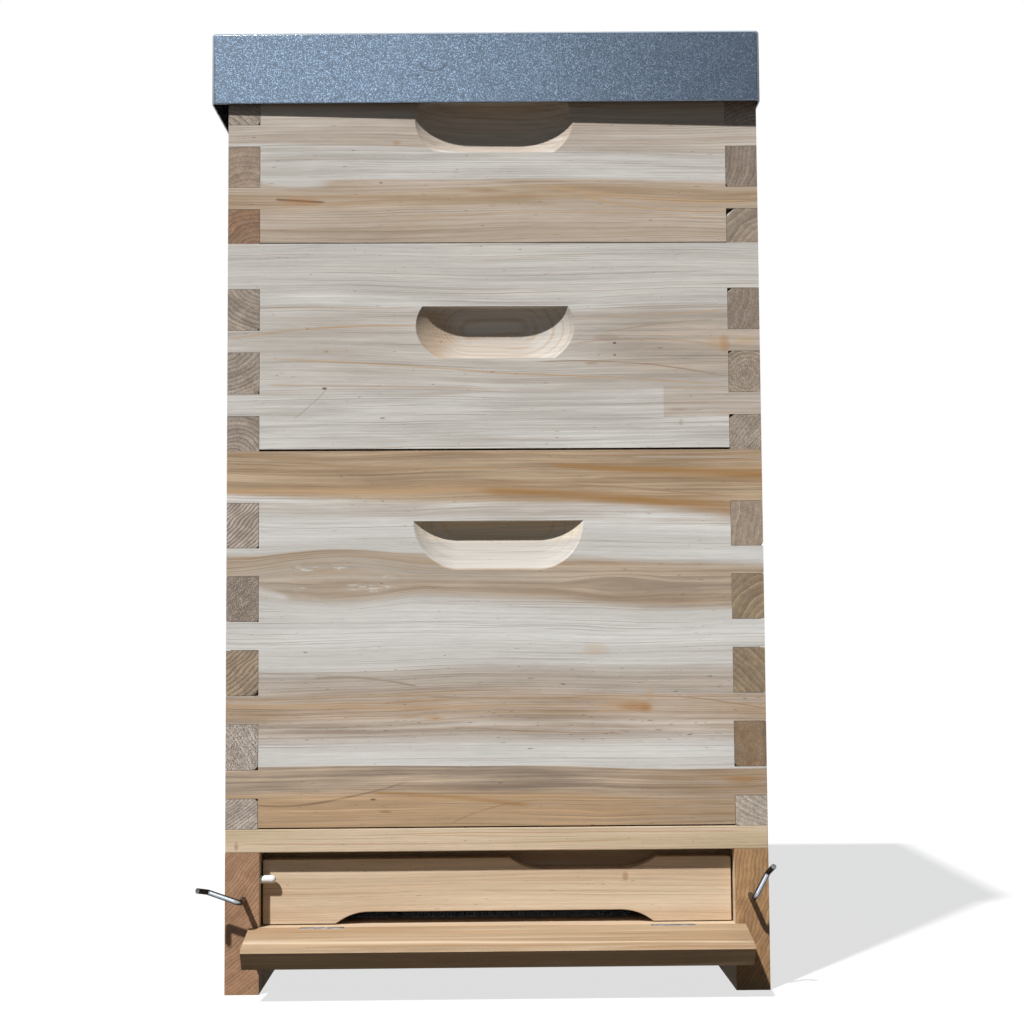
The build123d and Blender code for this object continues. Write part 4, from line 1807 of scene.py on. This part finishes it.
@dataclass(frozen=True)
class Studio:
    """Floor, lamps, background and camera."""

    floor_size: float = 30.0
    floor_grain: float = 4.0
    floor_relief: float = 0.05
    floor_relief_strength: float = 0.2
    floor_glow: float = 0.72
    sun_travel: Sizes = (0.64, 1.0, -1.47)
    sun_strength: float = 5.2
    sun_softness: float = 2.0
    fill: float = 0.08
    bounce: Colour = (0.12, 0.1, 0.08, 1.0)
    fill_colour: Colour = (0.66, 0.87, 1.0, 1.0)
    sheen_target: Sizes = (0.0, 0.0, 0.755)
    sheen_place: Sizes = (-0.86, -2.98, 1.68)
    sheen_size: float = 2.0
    sheen_power: float = 64.0
    sheen_colour: Sizes = (0.65, 0.81, 0.96)
    camera_place: Sizes = (-0.0112, -1.6959, 0.279)
    yaw: float = 0.97
    pitch: float = 4.18
    roll: float = -0.38
    lens: float = 63.28
    sensor: float = 36.0

    def build(self) -> None:
        """Makes everything round the object."""
        bpy.context.scene.view_settings.view_transform = "Standard"
        self._floor()
        self._world()
        self._sun()
        self._sheen()
        self._camera()

    def _floor(self) -> None:
        """A pale floor, white to the camera, that keeps a soft shadow."""
        Bench.clear()
        bpy.ops.mesh.primitive_plane_add(size=self.floor_size, location=(0, 0, 0))
        floor = bpy.context.object
        floor.name = "studio_floor"
        shader = Shader("studio_floor")
        seen = self._seen(shader)
        grain = shader.cells(shader.object_place(), self.floor_grain)
        normal = shader.bump(grain, self.floor_relief, self.floor_relief_strength)
        colour = shader.blend(seen, self.bounce, Tone.STUDIO)
        matt = shader.node("ShaderNodeBsdfDiffuse", feeds={"Color": colour, "Normal": normal})
        glow = shader.node("ShaderNodeEmission", feeds={"Color": WHITE, "Strength": 1.0})
        mixed = shader.node("ShaderNodeMixShader", feeds={0: seen * self.floor_glow, 1: matt, 2: glow})
        shader.node("ShaderNodeOutputMaterial", feeds={"Surface": mixed})
        dress(floor, shader.owner)

    @staticmethod
    def _seen(shader: Shader) -> Sock:
        """Tells what the camera sees, also in metal and glass.

        Args:
            shader: The material or world that is built.

        Returns:
            1 for what it sees, 0 for light that falls on other things.
        """
        camera = shader.node("ShaderNodeLightPath", out="Is Camera Ray")
        outputs = camera.socket.node.outputs
        glossy = Sock(shader, outputs["Is Glossy Ray"])
        through = Sock(shader, outputs["Is Transmission Ray"])
        return shader.math("MINIMUM", camera + glossy + through, 1.0)

    def _world(self) -> None:
        """White behind the object, and a dim even fill on it."""
        shader = Shader("studio", world=True)
        bpy.context.scene.world = shader.owner
        seen = self._seen(shader)
        strength = seen * (1 - self.fill) + self.fill
        colour = shader.blend(seen, self.fill_colour, WHITE)
        sky = shader.node("ShaderNodeBackground", feeds={"Color": colour, "Strength": strength})
        shader.node("ShaderNodeOutputWorld", feeds={"Surface": sky})

    @staticmethod
    def _stand(name: str, fitting: bpy.types.Light | bpy.types.Camera) -> bpy.types.Object:
        """Puts a lamp or a camera into the scene.

        Args:
            name: The object's name.
            fitting: The lamp or the camera.

        Returns:
            The object.
        """
        holder = bpy.data.objects.new(name, fitting)
        bpy.context.scene.collection.objects.link(holder)
        return holder

    def _sun(self) -> None:
        """The main lamp, from the upper left in front."""
        lamp = bpy.data.lights.new("main_lamp", "SUN")
        lamp.energy = self.sun_strength
        lamp.angle = math.radians(self.sun_softness)
        holder = self._stand("main_lamp", lamp)
        holder.rotation_euler = Vector(self.sun_travel).to_track_quat("-Z", "Y").to_euler()

    def _sheen(self) -> None:
        """A broad cool panel at the front left that only shows as a sheen on paint and metal."""
        panel = bpy.data.lights.new("sheen_panel", "AREA")
        panel.energy = self.sheen_power
        panel.size = self.sheen_size
        panel.color = self.sheen_colour
        holder = self._stand("sheen_panel", panel)
        holder.location = self.sheen_place
        aim = Vector(self.sheen_target) - Vector(self.sheen_place)
        holder.rotation_euler = aim.to_track_quat("-Z", "Y").to_euler()
        holder.visible_diffuse = False

    def _camera(self) -> None:
        """A camera at the photograph's place."""
        lens = bpy.data.cameras.new("camera")
        lens.lens = self.lens
        lens.sensor_width = self.sensor
        camera = self._stand("camera", lens)
        yaw, pitch, roll = (math.radians(angle) for angle in (self.yaw, self.pitch, self.roll))
        ahead = math.cos(pitch)
        forward = Vector((math.sin(yaw) * ahead, math.cos(yaw) * ahead, math.sin(pitch)))
        level = Vector((math.cos(yaw), -math.sin(yaw), 0))
        upright = level.cross(forward)
        right = level * math.cos(roll) + upright * math.sin(roll)
        up = right.cross(forward)
        turn = Matrix((right, up, -forward)).transposed().to_4x4()
        camera.matrix_world = Matrix.Translation(self.camera_place) @ turn
        bpy.context.scene.camera = camera


BROOD_HOLD = Hold(
    below_top=57.8 * MM, half_width=69.4 * MM, half_height=40.2 * MM, depth=12.5 * MM,
    widest=0.0, height=44 * MM, straight=32 * MM, shift=2.6 * MM,
)
SUPER_HOLD = Hold(
    below_top=52.6 * MM, half_width=65.4 * MM, half_height=35 * MM, depth=16.3 * MM,
    widest=16.4 * MM, height=43.2 * MM, straight=19 * MM, shift=0.8 * MM,
)
BROOD_FINGERS = Fingers(first=42.3 * MM, finger=37 * MM, gap=22.8 * MM)
SUPER_FINGERS = Fingers(first=37.8 * MM, finger=34.5 * MM, gap=18.1 * MM)
FINE_EDGE = 0.4 * MM
BAR_EDGE = 0.5 * MM
ROOF_BEND = 1.2 * MM
CROWN_TOP = 784.0
BACK_FIRST_PITH = (340.0, -60.0)
BACK_PITHS = ((200.0, 400.0), (330.0, -300.0))

UPPER_FRONT = Sawing(
    Grain.ACROSS,
    pith=(-240.0, 250.0),
    seed=3.1,
    strips=(
        Strip(0.0, (-255.0, 240.0)),
        Strip(661.0, (-200.0, 1100.0)),
        Strip(690.8, (-270.0, 300.0)),
    ),
    bands=(
        Band(688.5, 800.0, Tone.TAN, Tone.CREAM, slope=-0.02, wave=0.0, fray=1.5, soft_low=2.0),
        Band(590.0, 663.0, Tone.WARM_TAN, Tone.TAN, slope=-0.005, wave=0.0, fray=1.5, soft_high=1.5),
        Band(664.0, 689.0, Tone.ASH, Tone.GREY_PALE, 0.9, slope=-0.012, wave=0.0, fray=4.0),
        Band(641.0, 657.0, Tone.BROWN, Tone.WARM_TAN, 0.9, wave=5.0, fray=12.0, soft_low=9.0, soft_high=6.0),
        Band(613.0, 622.0, Tone.SMOKE, Tone.WARM_TAN, 0.4, wave=5.0, fray=10.0, soft_low=5.0, soft_high=5.0),
    ),
    veins=(
        Vein(-190, 60, (650.0, 648.0, 640.0), 1.8, Tone.BROWN, 0.6),
        Vein(40, 216, (656.0, 646.0, 645.0), 2.0, Tone.ORANGE, 0.8),
        Vein(70, 216, (648.0, 636.0, 638.0), 1.6, Tone.VEIN, 0.8),
        Vein(-80, 200, (630.0, 634.0, 628.0), 1.0, Tone.VEIN, 0.6),
        Vein(-216, 216, (686.5, 687.0, 683.0), 0.7, Tone.FIBRE, 0.4),
        Vein(-181, -138, (647.6, 646.6, 645.4), 1.5, Tone.RESIN, 1.0),
    ),
    marks=(
        Mark(-166.0, 661.0, 34.0, 5.0, Tone.GREY_PALE, 0.8),
        Mark(-160.0, 645.0, 24.0, 5.0, Tone.RUST, 0.6),
        Mark(-93.0, 660.0, 2.6, 0.9, Tone.RESIN, 0.8),
        Mark(-80.0, 693.5, 4.0, 2.6, Tone.BROWN, 0.6),
        Mark(-4.0, 653.0, 26.0, 2.6, Tone.DEEP_BROWN, 0.7),
        Mark(-1.0, 640.5, 8.0, 1.2, Tone.DEEP_BROWN, 0.6),
    ),
)
LOWER_FRONT = Sawing(
    Grain.ACROSS,
    pith=(-302.0, 521.0),
    seed=7.7,
    bands=(
        Band(400.0, 660.0, Tone.ASH, Tone.GREY_PALE, 0.8, wave=0.0, fray=0.0),
        Band(568.0, 612.0, Tone.GREY_PALE, Tone.ASH, 0.7, fray=14.0, soft_low=14.0),
        Band(490.0, 552.0, Tone.CREAM, Tone.ASH, 0.7, wave=6.0, fray=14.0, soft_low=14.0, soft_high=14.0),
        Band(
            500.0, 548.0, Tone.GREY_TAN, Tone.TAN,
            start=90.0, soft_start=45.0, soft_low=22.0, soft_high=22.0,
        ),
        Band(
            463.0, 491.0, Tone.TAN, Tone.CREAM, 0.9,
            start=139.0, wave=0.0, fray=0.0, soft_low=1.0, soft_high=4.0,
        ),
    ),
    veins=(
        Vein(-222, -58, (528.0, 537.5, 539.5), 1.3, Tone.VEIN, 1.0),
        Vein(-190, 198, (510.5, 503.0, 491.0), 1.1, Tone.VEIN, 1.0),
        Vein(-193, 5, (491.5, 489.5, 489.0), 0.9, Tone.VEIN, 0.7),
        Vein(62, 196, (545.0, 548.0, 551.0), 1.1, Tone.VEIN, 0.9),
        Vein(30, 198, (512.0, 509.5, 496.5), 1.0, Tone.GRAIN_LINE, 0.9),
        Vein(88, 184, (533.0, 540.5, 543.0), 0.9, Tone.GRAIN_LINE, 0.7),
        Vein(60, 190, (524.0, 528.0, 522.0), 1.4, Tone.BROWN, 0.5),
        Vein(-190, -60, (556.0, 554.0, 555.5), 0.8, Tone.VEIN, 0.6),
        Vein(-165, -137, (464.0, 475.0, 488.0), 0.9, Tone.GRAIN_LINE, 0.6),
    ),
    hearts_and_painted_light=(
        HeartOrPaintedLight(0.0, 535.0, 90.0, 40.0, 2.9, Tone.CREAM, Tone.WARM_TAN),
        # Painted light: a paler tone in the scoop's shaded top that lifts its shade.
        HeartOrPaintedLight(0.0, 558.0, 90.0, 26.0, 2.9, Tone.GREY_PALE, Tone.CREAM, 0.7),
        HeartOrPaintedLight(-56.0, 533.0, 30.0, 26.0, 1.1, Tone.WARM_TAN, Tone.BROWN, 0.9),
        HeartOrPaintedLight(-14.0, 520.0, 34.0, 12.0, 1.9, Tone.CREAM, Tone.WARM_TAN, 0.8),
        HeartOrPaintedLight(52.0, 530.0, 30.0, 30.0, 4.1, Tone.ASH, Tone.WARM_TAN, 0.8),
    ),
    marks=(
        Mark(190.0, 526.0, 6.0, 9.0, Tone.RUST, 0.6),
        Mark(184.0, 526.0, 14.0, 7.0, Tone.ORANGE, 0.45),
        Mark(207.0, 527.0, 14.0, 6.0, Tone.LIGHT_GOLD, 0.5),
        Mark(99.0, 525.5, 1.8, 1.0, Tone.RESIN, 0.9),
        Mark(99.0, 515.5, 1.6, 0.9, Tone.RESIN, 0.9),
        Mark(-139.5, 488.5, 2.6, 1.4, Tone.RESIN, 0.9),
        Mark(-138.0, 519.0, 2.0, 0.9, Tone.RESIN, 0.8),
        Mark(-130.0, 519.5, 22.0, 3.0, Tone.TAN, 0.6),
        Mark(-92.0, 464.0, 3.0, 0.9, Tone.FIBRE, 0.9),
        Mark(92.0, 530.0, 12.0, 4.0, Tone.SMOKE, 0.5),
        Mark(80.0, 509.0, 8.0, 1.6, Tone.BROWN, 0.7),
        Mark(153.0, 459.0, 2.4, 4.0, Tone.SMOKE, 0.45),
        Mark(151.0, 470.0, 9.0, 1.4, Tone.SMOKE, 0.5),
    ),
)
BROOD_FRONT = Sawing(
    Grain.ACROSS,
    pith=(-180.0, 190.0),
    seed=12.4,
    strips=(Strip(0.0, (-200.0, -160.0)), Strip(179.5, (-180.0, 700.0))),
    bands=(
        Band(392.0, 460.0, Tone.BROWN, Tone.SAND, slope=-0.041, wave=2.0, fray=9.0, soft_low=8.0, figure=0.7),
        Band(379.0, 395.0, Tone.TAN, Tone.PALE, 0.75, slope=-0.04, fray=16.0, soft_low=10.0, soft_high=6.0),
        Band(
            315.0, 345.0, Tone.WARM_TAN, Tone.GREY_TAN,
            slope=-0.02, soft_low=14.0, soft_high=9.0, lean=7.0, figure=0.5,
        ),
        Band(
            314.0, 342.0, Tone.SMOKE, Tone.WARM_TAN, 0.9, slope=-0.02, soft_low=9.0, soft_high=5.0, lean=7.0,
            start=40.0, soft_start=120.0, figure=0.6,
        ),
        Band(
            337.0, 345.0, Tone.BROWN, Tone.WARM_TAN, 0.5,
            slope=-0.02, soft_low=10.0, soft_high=8.0, lean=7.0,
        ),
        Band(
            315.0, 325.0, Tone.BROWN, Tone.WARM_TAN, 0.4,
            slope=-0.022, fray=6.0, soft_low=10.0, soft_high=10.0,
        ),
        Band(
            202.0, 258.0, Tone.PINK, Tone.CREAM,
            fray=10.0, soft_low=18.0, soft_high=18.0, figure=0.6, pitted=True,
        ),
        Band(
            241.0, 260.0, Tone.CREAM, Tone.GREY_TAN, 0.6,
            fray=10.0, soft_low=10.0, soft_high=12.0, figure=0.5,
        ),
        Band(220.0, 238.0, Tone.ORANGE, Tone.PINK, 0.7, slope=-0.01, soft_low=9.0, soft_high=9.0, figure=0.8),
        Band(
            60.0, 179.3, Tone.SMOKE, Tone.WARM_TAN,
            slope=-0.011, wave=0.0, fray=0.0, soft_high=0.8, figure=0.9,
        ),
        Band(100.0, 154.0, Tone.LIGHT_GOLD, Tone.BROWN, 0.9, wave=9.0, fray=14.0, soft_high=10.0, figure=0.8),
        Band(100.0, 178.0, Tone.BROWN, Tone.SMOKE, 0.85, start=120.0, soft_start=60.0, figure=0.7),
    ),
    veins=(
        Vein(-215, 20, (436.0, 424.0, 424.5), 2.6, Tone.BROWN, 0.9),
        Vein(40, 262, (425.0, 419.5, 413.0), 3.0, Tone.GOLD, 1.0, thick_end=9.0),
        Vein(110, 240, (432.0, 431.0, 428.0), 1.2, Tone.TAN, 0.7),
        Vein(-245, 60, (404.0, 405.5, 403.5), 4.2, Tone.ORANGE, 0.9),
        Vein(-20, 270, (404.5, 394.0, 376.0), 4.2, Tone.GOLD, 1.0, thick_end=12.0),
        Vein(-20, 200, (413.0, 407.0, 397.0), 1.4, Tone.DEEP_BROWN, 0.7),
        Vein(80, 240, (415.0, 413.0, 408.0), 1.6, Tone.DEEP_BROWN, 0.6),
        Vein(-262, -165, (323.0, 323.0, 320.0), 10.0, Tone.PALE, 1.0, thick_end=3.0),
        Vein(-150, -60, (253.5, 253.0, 243.0), 1.7, Tone.SMOKE, 1.0),
        Vein(-190, 20, (243.5, 242.5, 239.0), 1.0, Tone.SMOKE, 0.9),
        Vein(110, 240, (237.0, 233.0, 222.0), 1.0, Tone.DEEP_BROWN, 0.8),
        Vein(-60, 80, (237.0, 233.5, 235.5), 1.0, Tone.DEEP_BROWN, 0.7),
        Vein(-240, 0, (233.0, 230.5, 226.0), 2.6, Tone.ORANGE, 0.7),
        Vein(-40, 110, (212.5, 208.0, 206.5), 0.9, Tone.DEEP_BROWN, 0.8),
        Vein(-200, -70, (149.0, 151.5, 168.0), 1.3, Tone.RESIN, 0.7),
        Vein(-90, 40, (164.0, 163.0, 166.0), 1.0, Tone.DEEP_BROWN, 0.9),
        Vein(-105, 30, (158.0, 154.0, 146.0), 3.0, Tone.GOLD, 0.8),
        Vein(-40, 40, (131.0, 146.0, 151.0), 1.0, Tone.DEEP_BROWN, 0.8),
    ),
    swirls=(Swirl(-132.0, 332.0, 74.0, 30.0, 0.6), Swirl(100.0, 325.0, 46.0, 12.0, 0.7)),
    hearts_and_painted_light=(
        # Its rings are the wood's own. Its darker ash tone is painted shade that tones down the full light on
        # the scoop's lower face.
        HeartOrPaintedLight(2.6, 360.0, 90.0, 60.0, 3.2, Tone.ASH, Tone.CREAM, 0.9),
        # Painted light: a paler cream in the scoop's shaded top, standing in for light bounced into the
        # shade.
        HeartOrPaintedLight(2.6, 381.0, 110.0, 21.0, 3.2, Tone.PAINTED_LIGHT_CREAM, Tone.LIME, 0.7),
    ),
    marks=(
        Mark(104.0, 228.0, 34.0, 7.0, Tone.VEIN, 0.7),
        Mark(112.0, 227.5, 20.0, 5.0, Tone.RUST, 0.6),
        Mark(121.0, 226.5, 7.0, 6.0, Tone.RUST, 0.7),
        Mark(125.0, 236.0, 5.0, 9.0, Tone.VEIN, 0.35),
        Mark(-50.0, 219.0, 12.0, 3.2, Tone.ORANGE, 0.7),
        Mark(98.0, 326.0, 14.0, 2.2, Tone.SMOKE, 0.9),
        Mark(-154.0, 340.0, 20.0, 3.5, Tone.PALE, 0.8, True),
        Mark(-128.0, 339.0, 14.0, 4.0, Tone.PALE, 0.9, True),
        Mark(-104.0, 324.0, 26.0, 4.5, Tone.PALE, 0.9, True),
        Mark(-92.0, 332.0, 12.0, 3.0, Tone.PALE, 0.9, True),
        Mark(-158.0, 325.0, 10.0, 3.0, Tone.PALE, 0.7, True),
        Mark(-92.0, 396.0, 2.6, 1.4, Tone.SMOKE, 0.8),
        Mark(81.0, 275.0, 14.0, 7.0, Tone.LIGHT_GOLD, 0.3),
        Mark(-155.0, 273.0, 2.4, 0.7, Tone.DEEP_BROWN, 0.8),
        Mark(-90.0, 144.0, 6.0, 1.4, Tone.DEEP_BROWN, 0.8),
        Mark(-100.0, 154.0, 3.0, 1.2, Tone.RESIN, 0.8),
        Mark(200.0, 168.0, 24.0, 4.0, Tone.GOLD, 0.7),
    ),
)
BROOD_LEFT = (
    Strip(0.0, (-300.0, 270.0), 2.2, Tone.END_PALE, Tone.END_LINE, 0.4, 0.42),
    Strip(166.9, (-310.0, 120.0), 2.6, Tone.END_PALE, Tone.END_DULL, 0.8),
    Strip(226.7, (-262.0, 330.0), 3.4, Tone.SAND, Tone.END_LINE, 0.2, 0.55),
    Strip(286.5, (-290.0, 410.0), 2.4, Tone.END_GREY, Tone.END_LINE, 0.5, 0.2),
    Strip(346.3, (-326.0, 496.0), 2.6, Tone.END_PALE, Tone.END_LINE, 0.15, 0.62),
)
BROOD_RIGHT = (
    Strip(0.0, (260.0, 250.0), 4.4, Tone.END_GRAIN, Tone.END_FLECK, 0.4),
    Strip(166.9, (60.0, 197.0), 5.0, Tone.END_BROWN, Tone.END_DULL, 0.15),
    Strip(226.7, (96.0, 146.0), 4.5, Tone.END_TAN, Tone.END_SHEEN, 0.15, 0.28),
    Strip(286.5, (228.0, 286.0), 5.0, Tone.END_TAN, Tone.END_SHEEN, 0.12, 0.28),
    Strip(346.3, (20.0, 400.0), 4.6, Tone.SMOKE, Tone.END_SHEEN, 0.2, 0.4),
)
LOWER_LEFT = (
    Strip(0.0, (-213.0, 430.0), 3.2, Tone.END_GRAIN, Tone.END_LINE, 0.25),
    Strip(475.0, (-226.0, 540.0), 3.6, Tone.END_GRAIN, Tone.END_LINE, 0.3),
    Strip(527.6, (-184.0, 588.0), 3.6, Tone.END_GRAIN, Tone.END_LINE, 0.25),
)
LOWER_RIGHT = (
    Strip(0.0, (240.0, 420.0), 2.6, Tone.END_GRAIN, Tone.END_DULL, 0.4),
    Strip(475.0, (207.0, 499.0), 3.6, Tone.END_GREY, Tone.END_SHEEN, 0.4),
    Strip(527.6, (100.0, 590.0), 3.0, Tone.END_GREY, Tone.END_DULL, 0.25),
)
UPPER_LEFT = (
    Strip(0.0, (-196.0, 602.0), 3.8, Tone.END_RED, Tone.END_LINE, 0.15),
    Strip(647.0, (-203.0, 640.0), 4.2, Tone.END_WARM, Tone.END_DULL, 0.2),
    Strip(699.6, (-240.0, 650.0), 3.4),
)
UPPER_RIGHT = (
    Strip(0.0, (228.0, 600.0), 5.4, Tone.END_GREY, Tone.END_SHEEN, 0.15),
    Strip(647.0, (110.0, 690.0), 3.4, Tone.END_GREY, Tone.END_LINE, 0.2, 0.28),
    Strip(699.6, (240.0, 650.0), 3.4),
)


def side_sawing(seed: float, strips: tuple[Strip, ...], bands: tuple[Band, ...] = ()) -> Sawing:
    """A side board glued from strips."""
    return Sawing(Grain.BACKWARD, strips[0].pith, seed, strips, bands)


def back_sawing(seed: float, edges: tuple[float, ...], bands: tuple[Band, ...]) -> Sawing:
    """A back board glued from strips that were turned end for end.

    Args:
        seed: A number of the board's own that sets its noises.
        edges: Heights of the glued joints.
        bands: The board's bands.

    Returns:
        How the board was cut.
    """
    depth, above = BACK_FIRST_PITH
    strips = [Strip(0.0, (depth, edges[0] + above))]
    for turn, edge in enumerate(edges):
        depth, above = BACK_PITHS[turn % 2]
        strips.append(Strip(edge, (depth, edge + above)))
    return Sawing(Grain.ACROSS, strips[0].pith, seed, tuple(strips), bands)


def hive_boxes() -> list[HiveBox]:
    """The three boxes of the stack.

    Returns:
        The boxes from the bottom up.
    """
    brown_low = Band(100.0, 214.0, Tone.BROWN, Tone.PINK, wave=0.0, fray=0.0, soft_high=0.8)
    brown_mid = Band(300.0, 352.0, Tone.WARM_TAN, Tone.BROWN, wave=8.0, soft_low=9.0, soft_high=6.0)
    tan_lower = Band(400.0, 512.0, Tone.TAN, Tone.CREAM, wave=0.0, fray=0.0, soft_high=0.8)
    tan_upper = Band(672.0, 800.0, Tone.WARM_TAN, Tone.TAN, wave=0.0, fray=0.0, soft_low=0.8)
    brood = HiveBox(
        "brood", "brood_box", BROOD_FINGERS, BROOD_HOLD, BROOD_FRONT,
        back=back_sawing(21.3, (214.0, 330.0), (brown_low, brown_mid)),
        left=side_sawing(31.9, BROOD_LEFT, (brown_mid,)),
        right=side_sawing(44.2, BROOD_RIGHT, (brown_low,)),
        chips=(
            Chip(Side.LEFT, 2, 5 * MM),
            Chip(Side.LEFT, 3, 3 * MM),
            Chip(Side.LEFT, 4, 2.5 * MM, upper=True),
            Chip(Side.LEFT, 0, 2 * MM),
            Chip(Side.LEFT, 1, 1.6 * MM),
            Chip(Side.RIGHT, 0, 2.5 * MM, inner=False),
            Chip(Side.RIGHT, 3, 2.5 * MM),
            Chip(Side.RIGHT, 4, 3 * MM),
        ),
        gap_below=1.2 * MM,
    )
    lower = HiveBox(
        "lower_super", "lower_super", SUPER_FINGERS, SUPER_HOLD, LOWER_FRONT,
        back=back_sawing(52.8, (512.0,), (tan_lower,)),
        left=side_sawing(61.4, LOWER_LEFT),
        right=side_sawing(73.6, LOWER_RIGHT, (tan_lower,)),
        chips=(
            Chip(Side.RIGHT, 0, 4 * MM, upper=True),
            Chip(Side.RIGHT, 1, 3 * MM, upper=True),
            Chip(Side.RIGHT, 2, 4 * MM, upper=True),
            Chip(Side.LEFT, 0, 2 * MM),
            Chip(Side.LEFT, 1, 1.8 * MM),
        ),
        gap_below=1.7 * MM,
    )
    upper = HiveBox(
        "upper_super", "upper_super", SUPER_FINGERS, SUPER_HOLD, UPPER_FRONT,
        back=back_sawing(82.1, (672.0,), (tan_upper,)),
        left=side_sawing(90.5, UPPER_LEFT, (tan_upper,)),
        right=side_sawing(17.2, UPPER_RIGHT),
        chips=(
            Chip(Side.RIGHT, 2, 7 * MM, upper=True),
            Chip(Side.LEFT, 0, 2 * MM),
            Chip(Side.RIGHT, 1, 2 * MM),
        ),
        gap_below=0.8 * MM,
    )
    return [brood, lower, upper]


def dress_floor() -> None:
    """Finishes the floor, the reducer, the landing board and their fittings."""
    carried = CarriedOver()
    carried.wood(
        "floor_front_bar", PALE_PINE,
        Sawing(
            Grain.ACROSS, (-250.0, -200.0), 5.3,
            veins=(
                Vein(-120, 216, (125.0, 127.0, 126.0), 0.8, Tone.PINE_LINE, 0.8),
                Vein(-216, 120, (120.0, 118.5, 121.0), 0.8, Tone.PINE_LINE, 0.7),
            ),
            marks=(Mark(-210.0, 117.0, 3.0, 5.0, Tone.DEEP_BROWN, 0.9),),
        ),
    )
    left_leg = Strip(0.0, (-330.0, 190.0), 2.6, Tone.PINE_END, Tone.PINE_END_LINE, 0.1)
    right_leg = Strip(0.0, (60.0, 110.0), 3.2, Tone.PINE_END_GOLD, Tone.PINE_END_LINE, 0.1)
    for node, seed, strip in (("floor_left_runner", 8.8, left_leg), ("floor_right_runner", 9.6, right_leg)):
        carried.wood(node, PINE, Sawing(Grain.BACKWARD, strip.pith, seed, (strip,)))
    for node, seed in (("floor_rear_bar", 14.1), ("floor_rear_board", 15.2)):
        carried.wood(node, PALE_PINE, Sawing(Grain.ACROSS, (330.0, 10.0), seed))
    for node, seed in (("floor_left_rail", 16.3), ("floor_right_rail", 18.4)):
        carried.wood(node, PALE_PINE, Sawing(Grain.BACKWARD, (40.0, 20.0), seed))
    for node, seed in (("tray_guide_left", 19.4), ("tray_guide_right", 20.5)):
        carried.wood(node, PINE, Sawing(Grain.BACKWARD, (60.0, 0.0), seed), FINE_EDGE)
    carried.wood("entrance_lintel", PINE, Sawing(Grain.ACROSS, (-150.0, 30.0), 22.2))
    carried.wood("entrance_sill", PINE, Sawing(Grain.FLAT, (-40.0, -210.0), 23.3), FINE_EDGE)
    carried.wood(
        "entrance_reducer", PINE,
        Sawing(
            Grain.ACROSS, (-290.0, -30.0), 24.6,
            bands=(Band(80.0, 86.0, Tone.PINE_LIGHT, Tone.PINE, 0.8, soft_low=4.0, soft_high=4.0),),
            marks=(Mark(104.0, 89.0, 3.0, 4.5, Tone.PINE_FIBRE, 0.6),),
        ),
    )
    carried.wood(
        "landing_board", WORN_PINE,
        Sawing(
            Grain.FLAT, (-60.0, -190.0), 26.7,
            bands=(Band(-292.0, -276.0, Tone.PINE_WORN_DULL, Tone.PINE_WORN, 0.8, slope=-0.012, wave=0.0),),
            veins=(Vein(-230, 215, (-267.5, -272.0, -277.0), 8.0, Tone.PINE_LIGHT, 0.9, thick_end=2.5),),
        ),
        BAR_EDGE,
    )
    carried.wood("tray_handle", PINE, Sawing(Grain.ACROSS, (330.0, 0.0), 27.1))
    zinc = MetalFinish(Tone.ZINC, Tone.ZINC_DULL, roughness=0.4).material("zinc_fittings")
    fittings = (
        "floor_rim_screws", "hinge_fixed_leaves", "hinge_fixed_screws", "hinge_moving_leaves",
        "hinge_moving_screws", "hinge_pins", "brood_frame_rests", "lower_super_frame_rests",
        "upper_super_frame_rests",
    )
    carried.plain(fittings, zinc)
    peg = PlasticFinish(Tone.WHITE_PLASTIC, roughness=0.38, grain=1.5)
    sheet = PlasticFinish(Tone.SHEET_WHITE, roughness=0.5, grain=2.0)
    carried.plain(("left_hook", "right_hook"), PolishedWire().material("bright_wire"))
    carried.plain(("reducer_peg",), peg.material("white_peg"))
    carried.plain(("varroa_tray",), sheet.material("white_sheet"))


def dress_frames_and_cover() -> None:
    """Finishes the frames in every box, the crown board and the roof."""
    carried = CarriedOver()
    wax = WaxFinish().material("pressed_wax")
    for box, seed in (("brood", 1.5), ("lower_super", 2.6), ("upper_super", 3.7)):
        bars = {
            "top": Sawing(Grain.BACKWARD, (90.0, 60.0), seed),
            "bottom": Sawing(Grain.BACKWARD, (70.0, 40.0), seed + 4),
            "end": Sawing(Grain.UPRIGHT, (60.0, 80.0), seed + 8),
        }
        for bar, sawing in bars.items():
            carried.wood(f"{box}_frame_{bar}_bars", LIME, sawing, BAR_EDGE)
        carried.plain((f"{box}_wax_foundations",), wax)
    carried.plain(("crown_board",), PlyFinish(CROWN_TOP).material("crown_plywood"))
    carried.plain(("roof",), RoofPaint().material("grained_paint"))
    carried.soften("roof", ROOF_BEND)


def main() -> None:
    """Builds the hive from the ground up, then the studio round it."""
    logging.basicConfig(level=logging.INFO, format="%(name)s: %(message)s")
    dress_floor()
    WireScreen().build()
    for box in hive_boxes():
        box.build()
    dress_frames_and_cover()
    Studio().build()


if __name__ == "__main__":
    main()
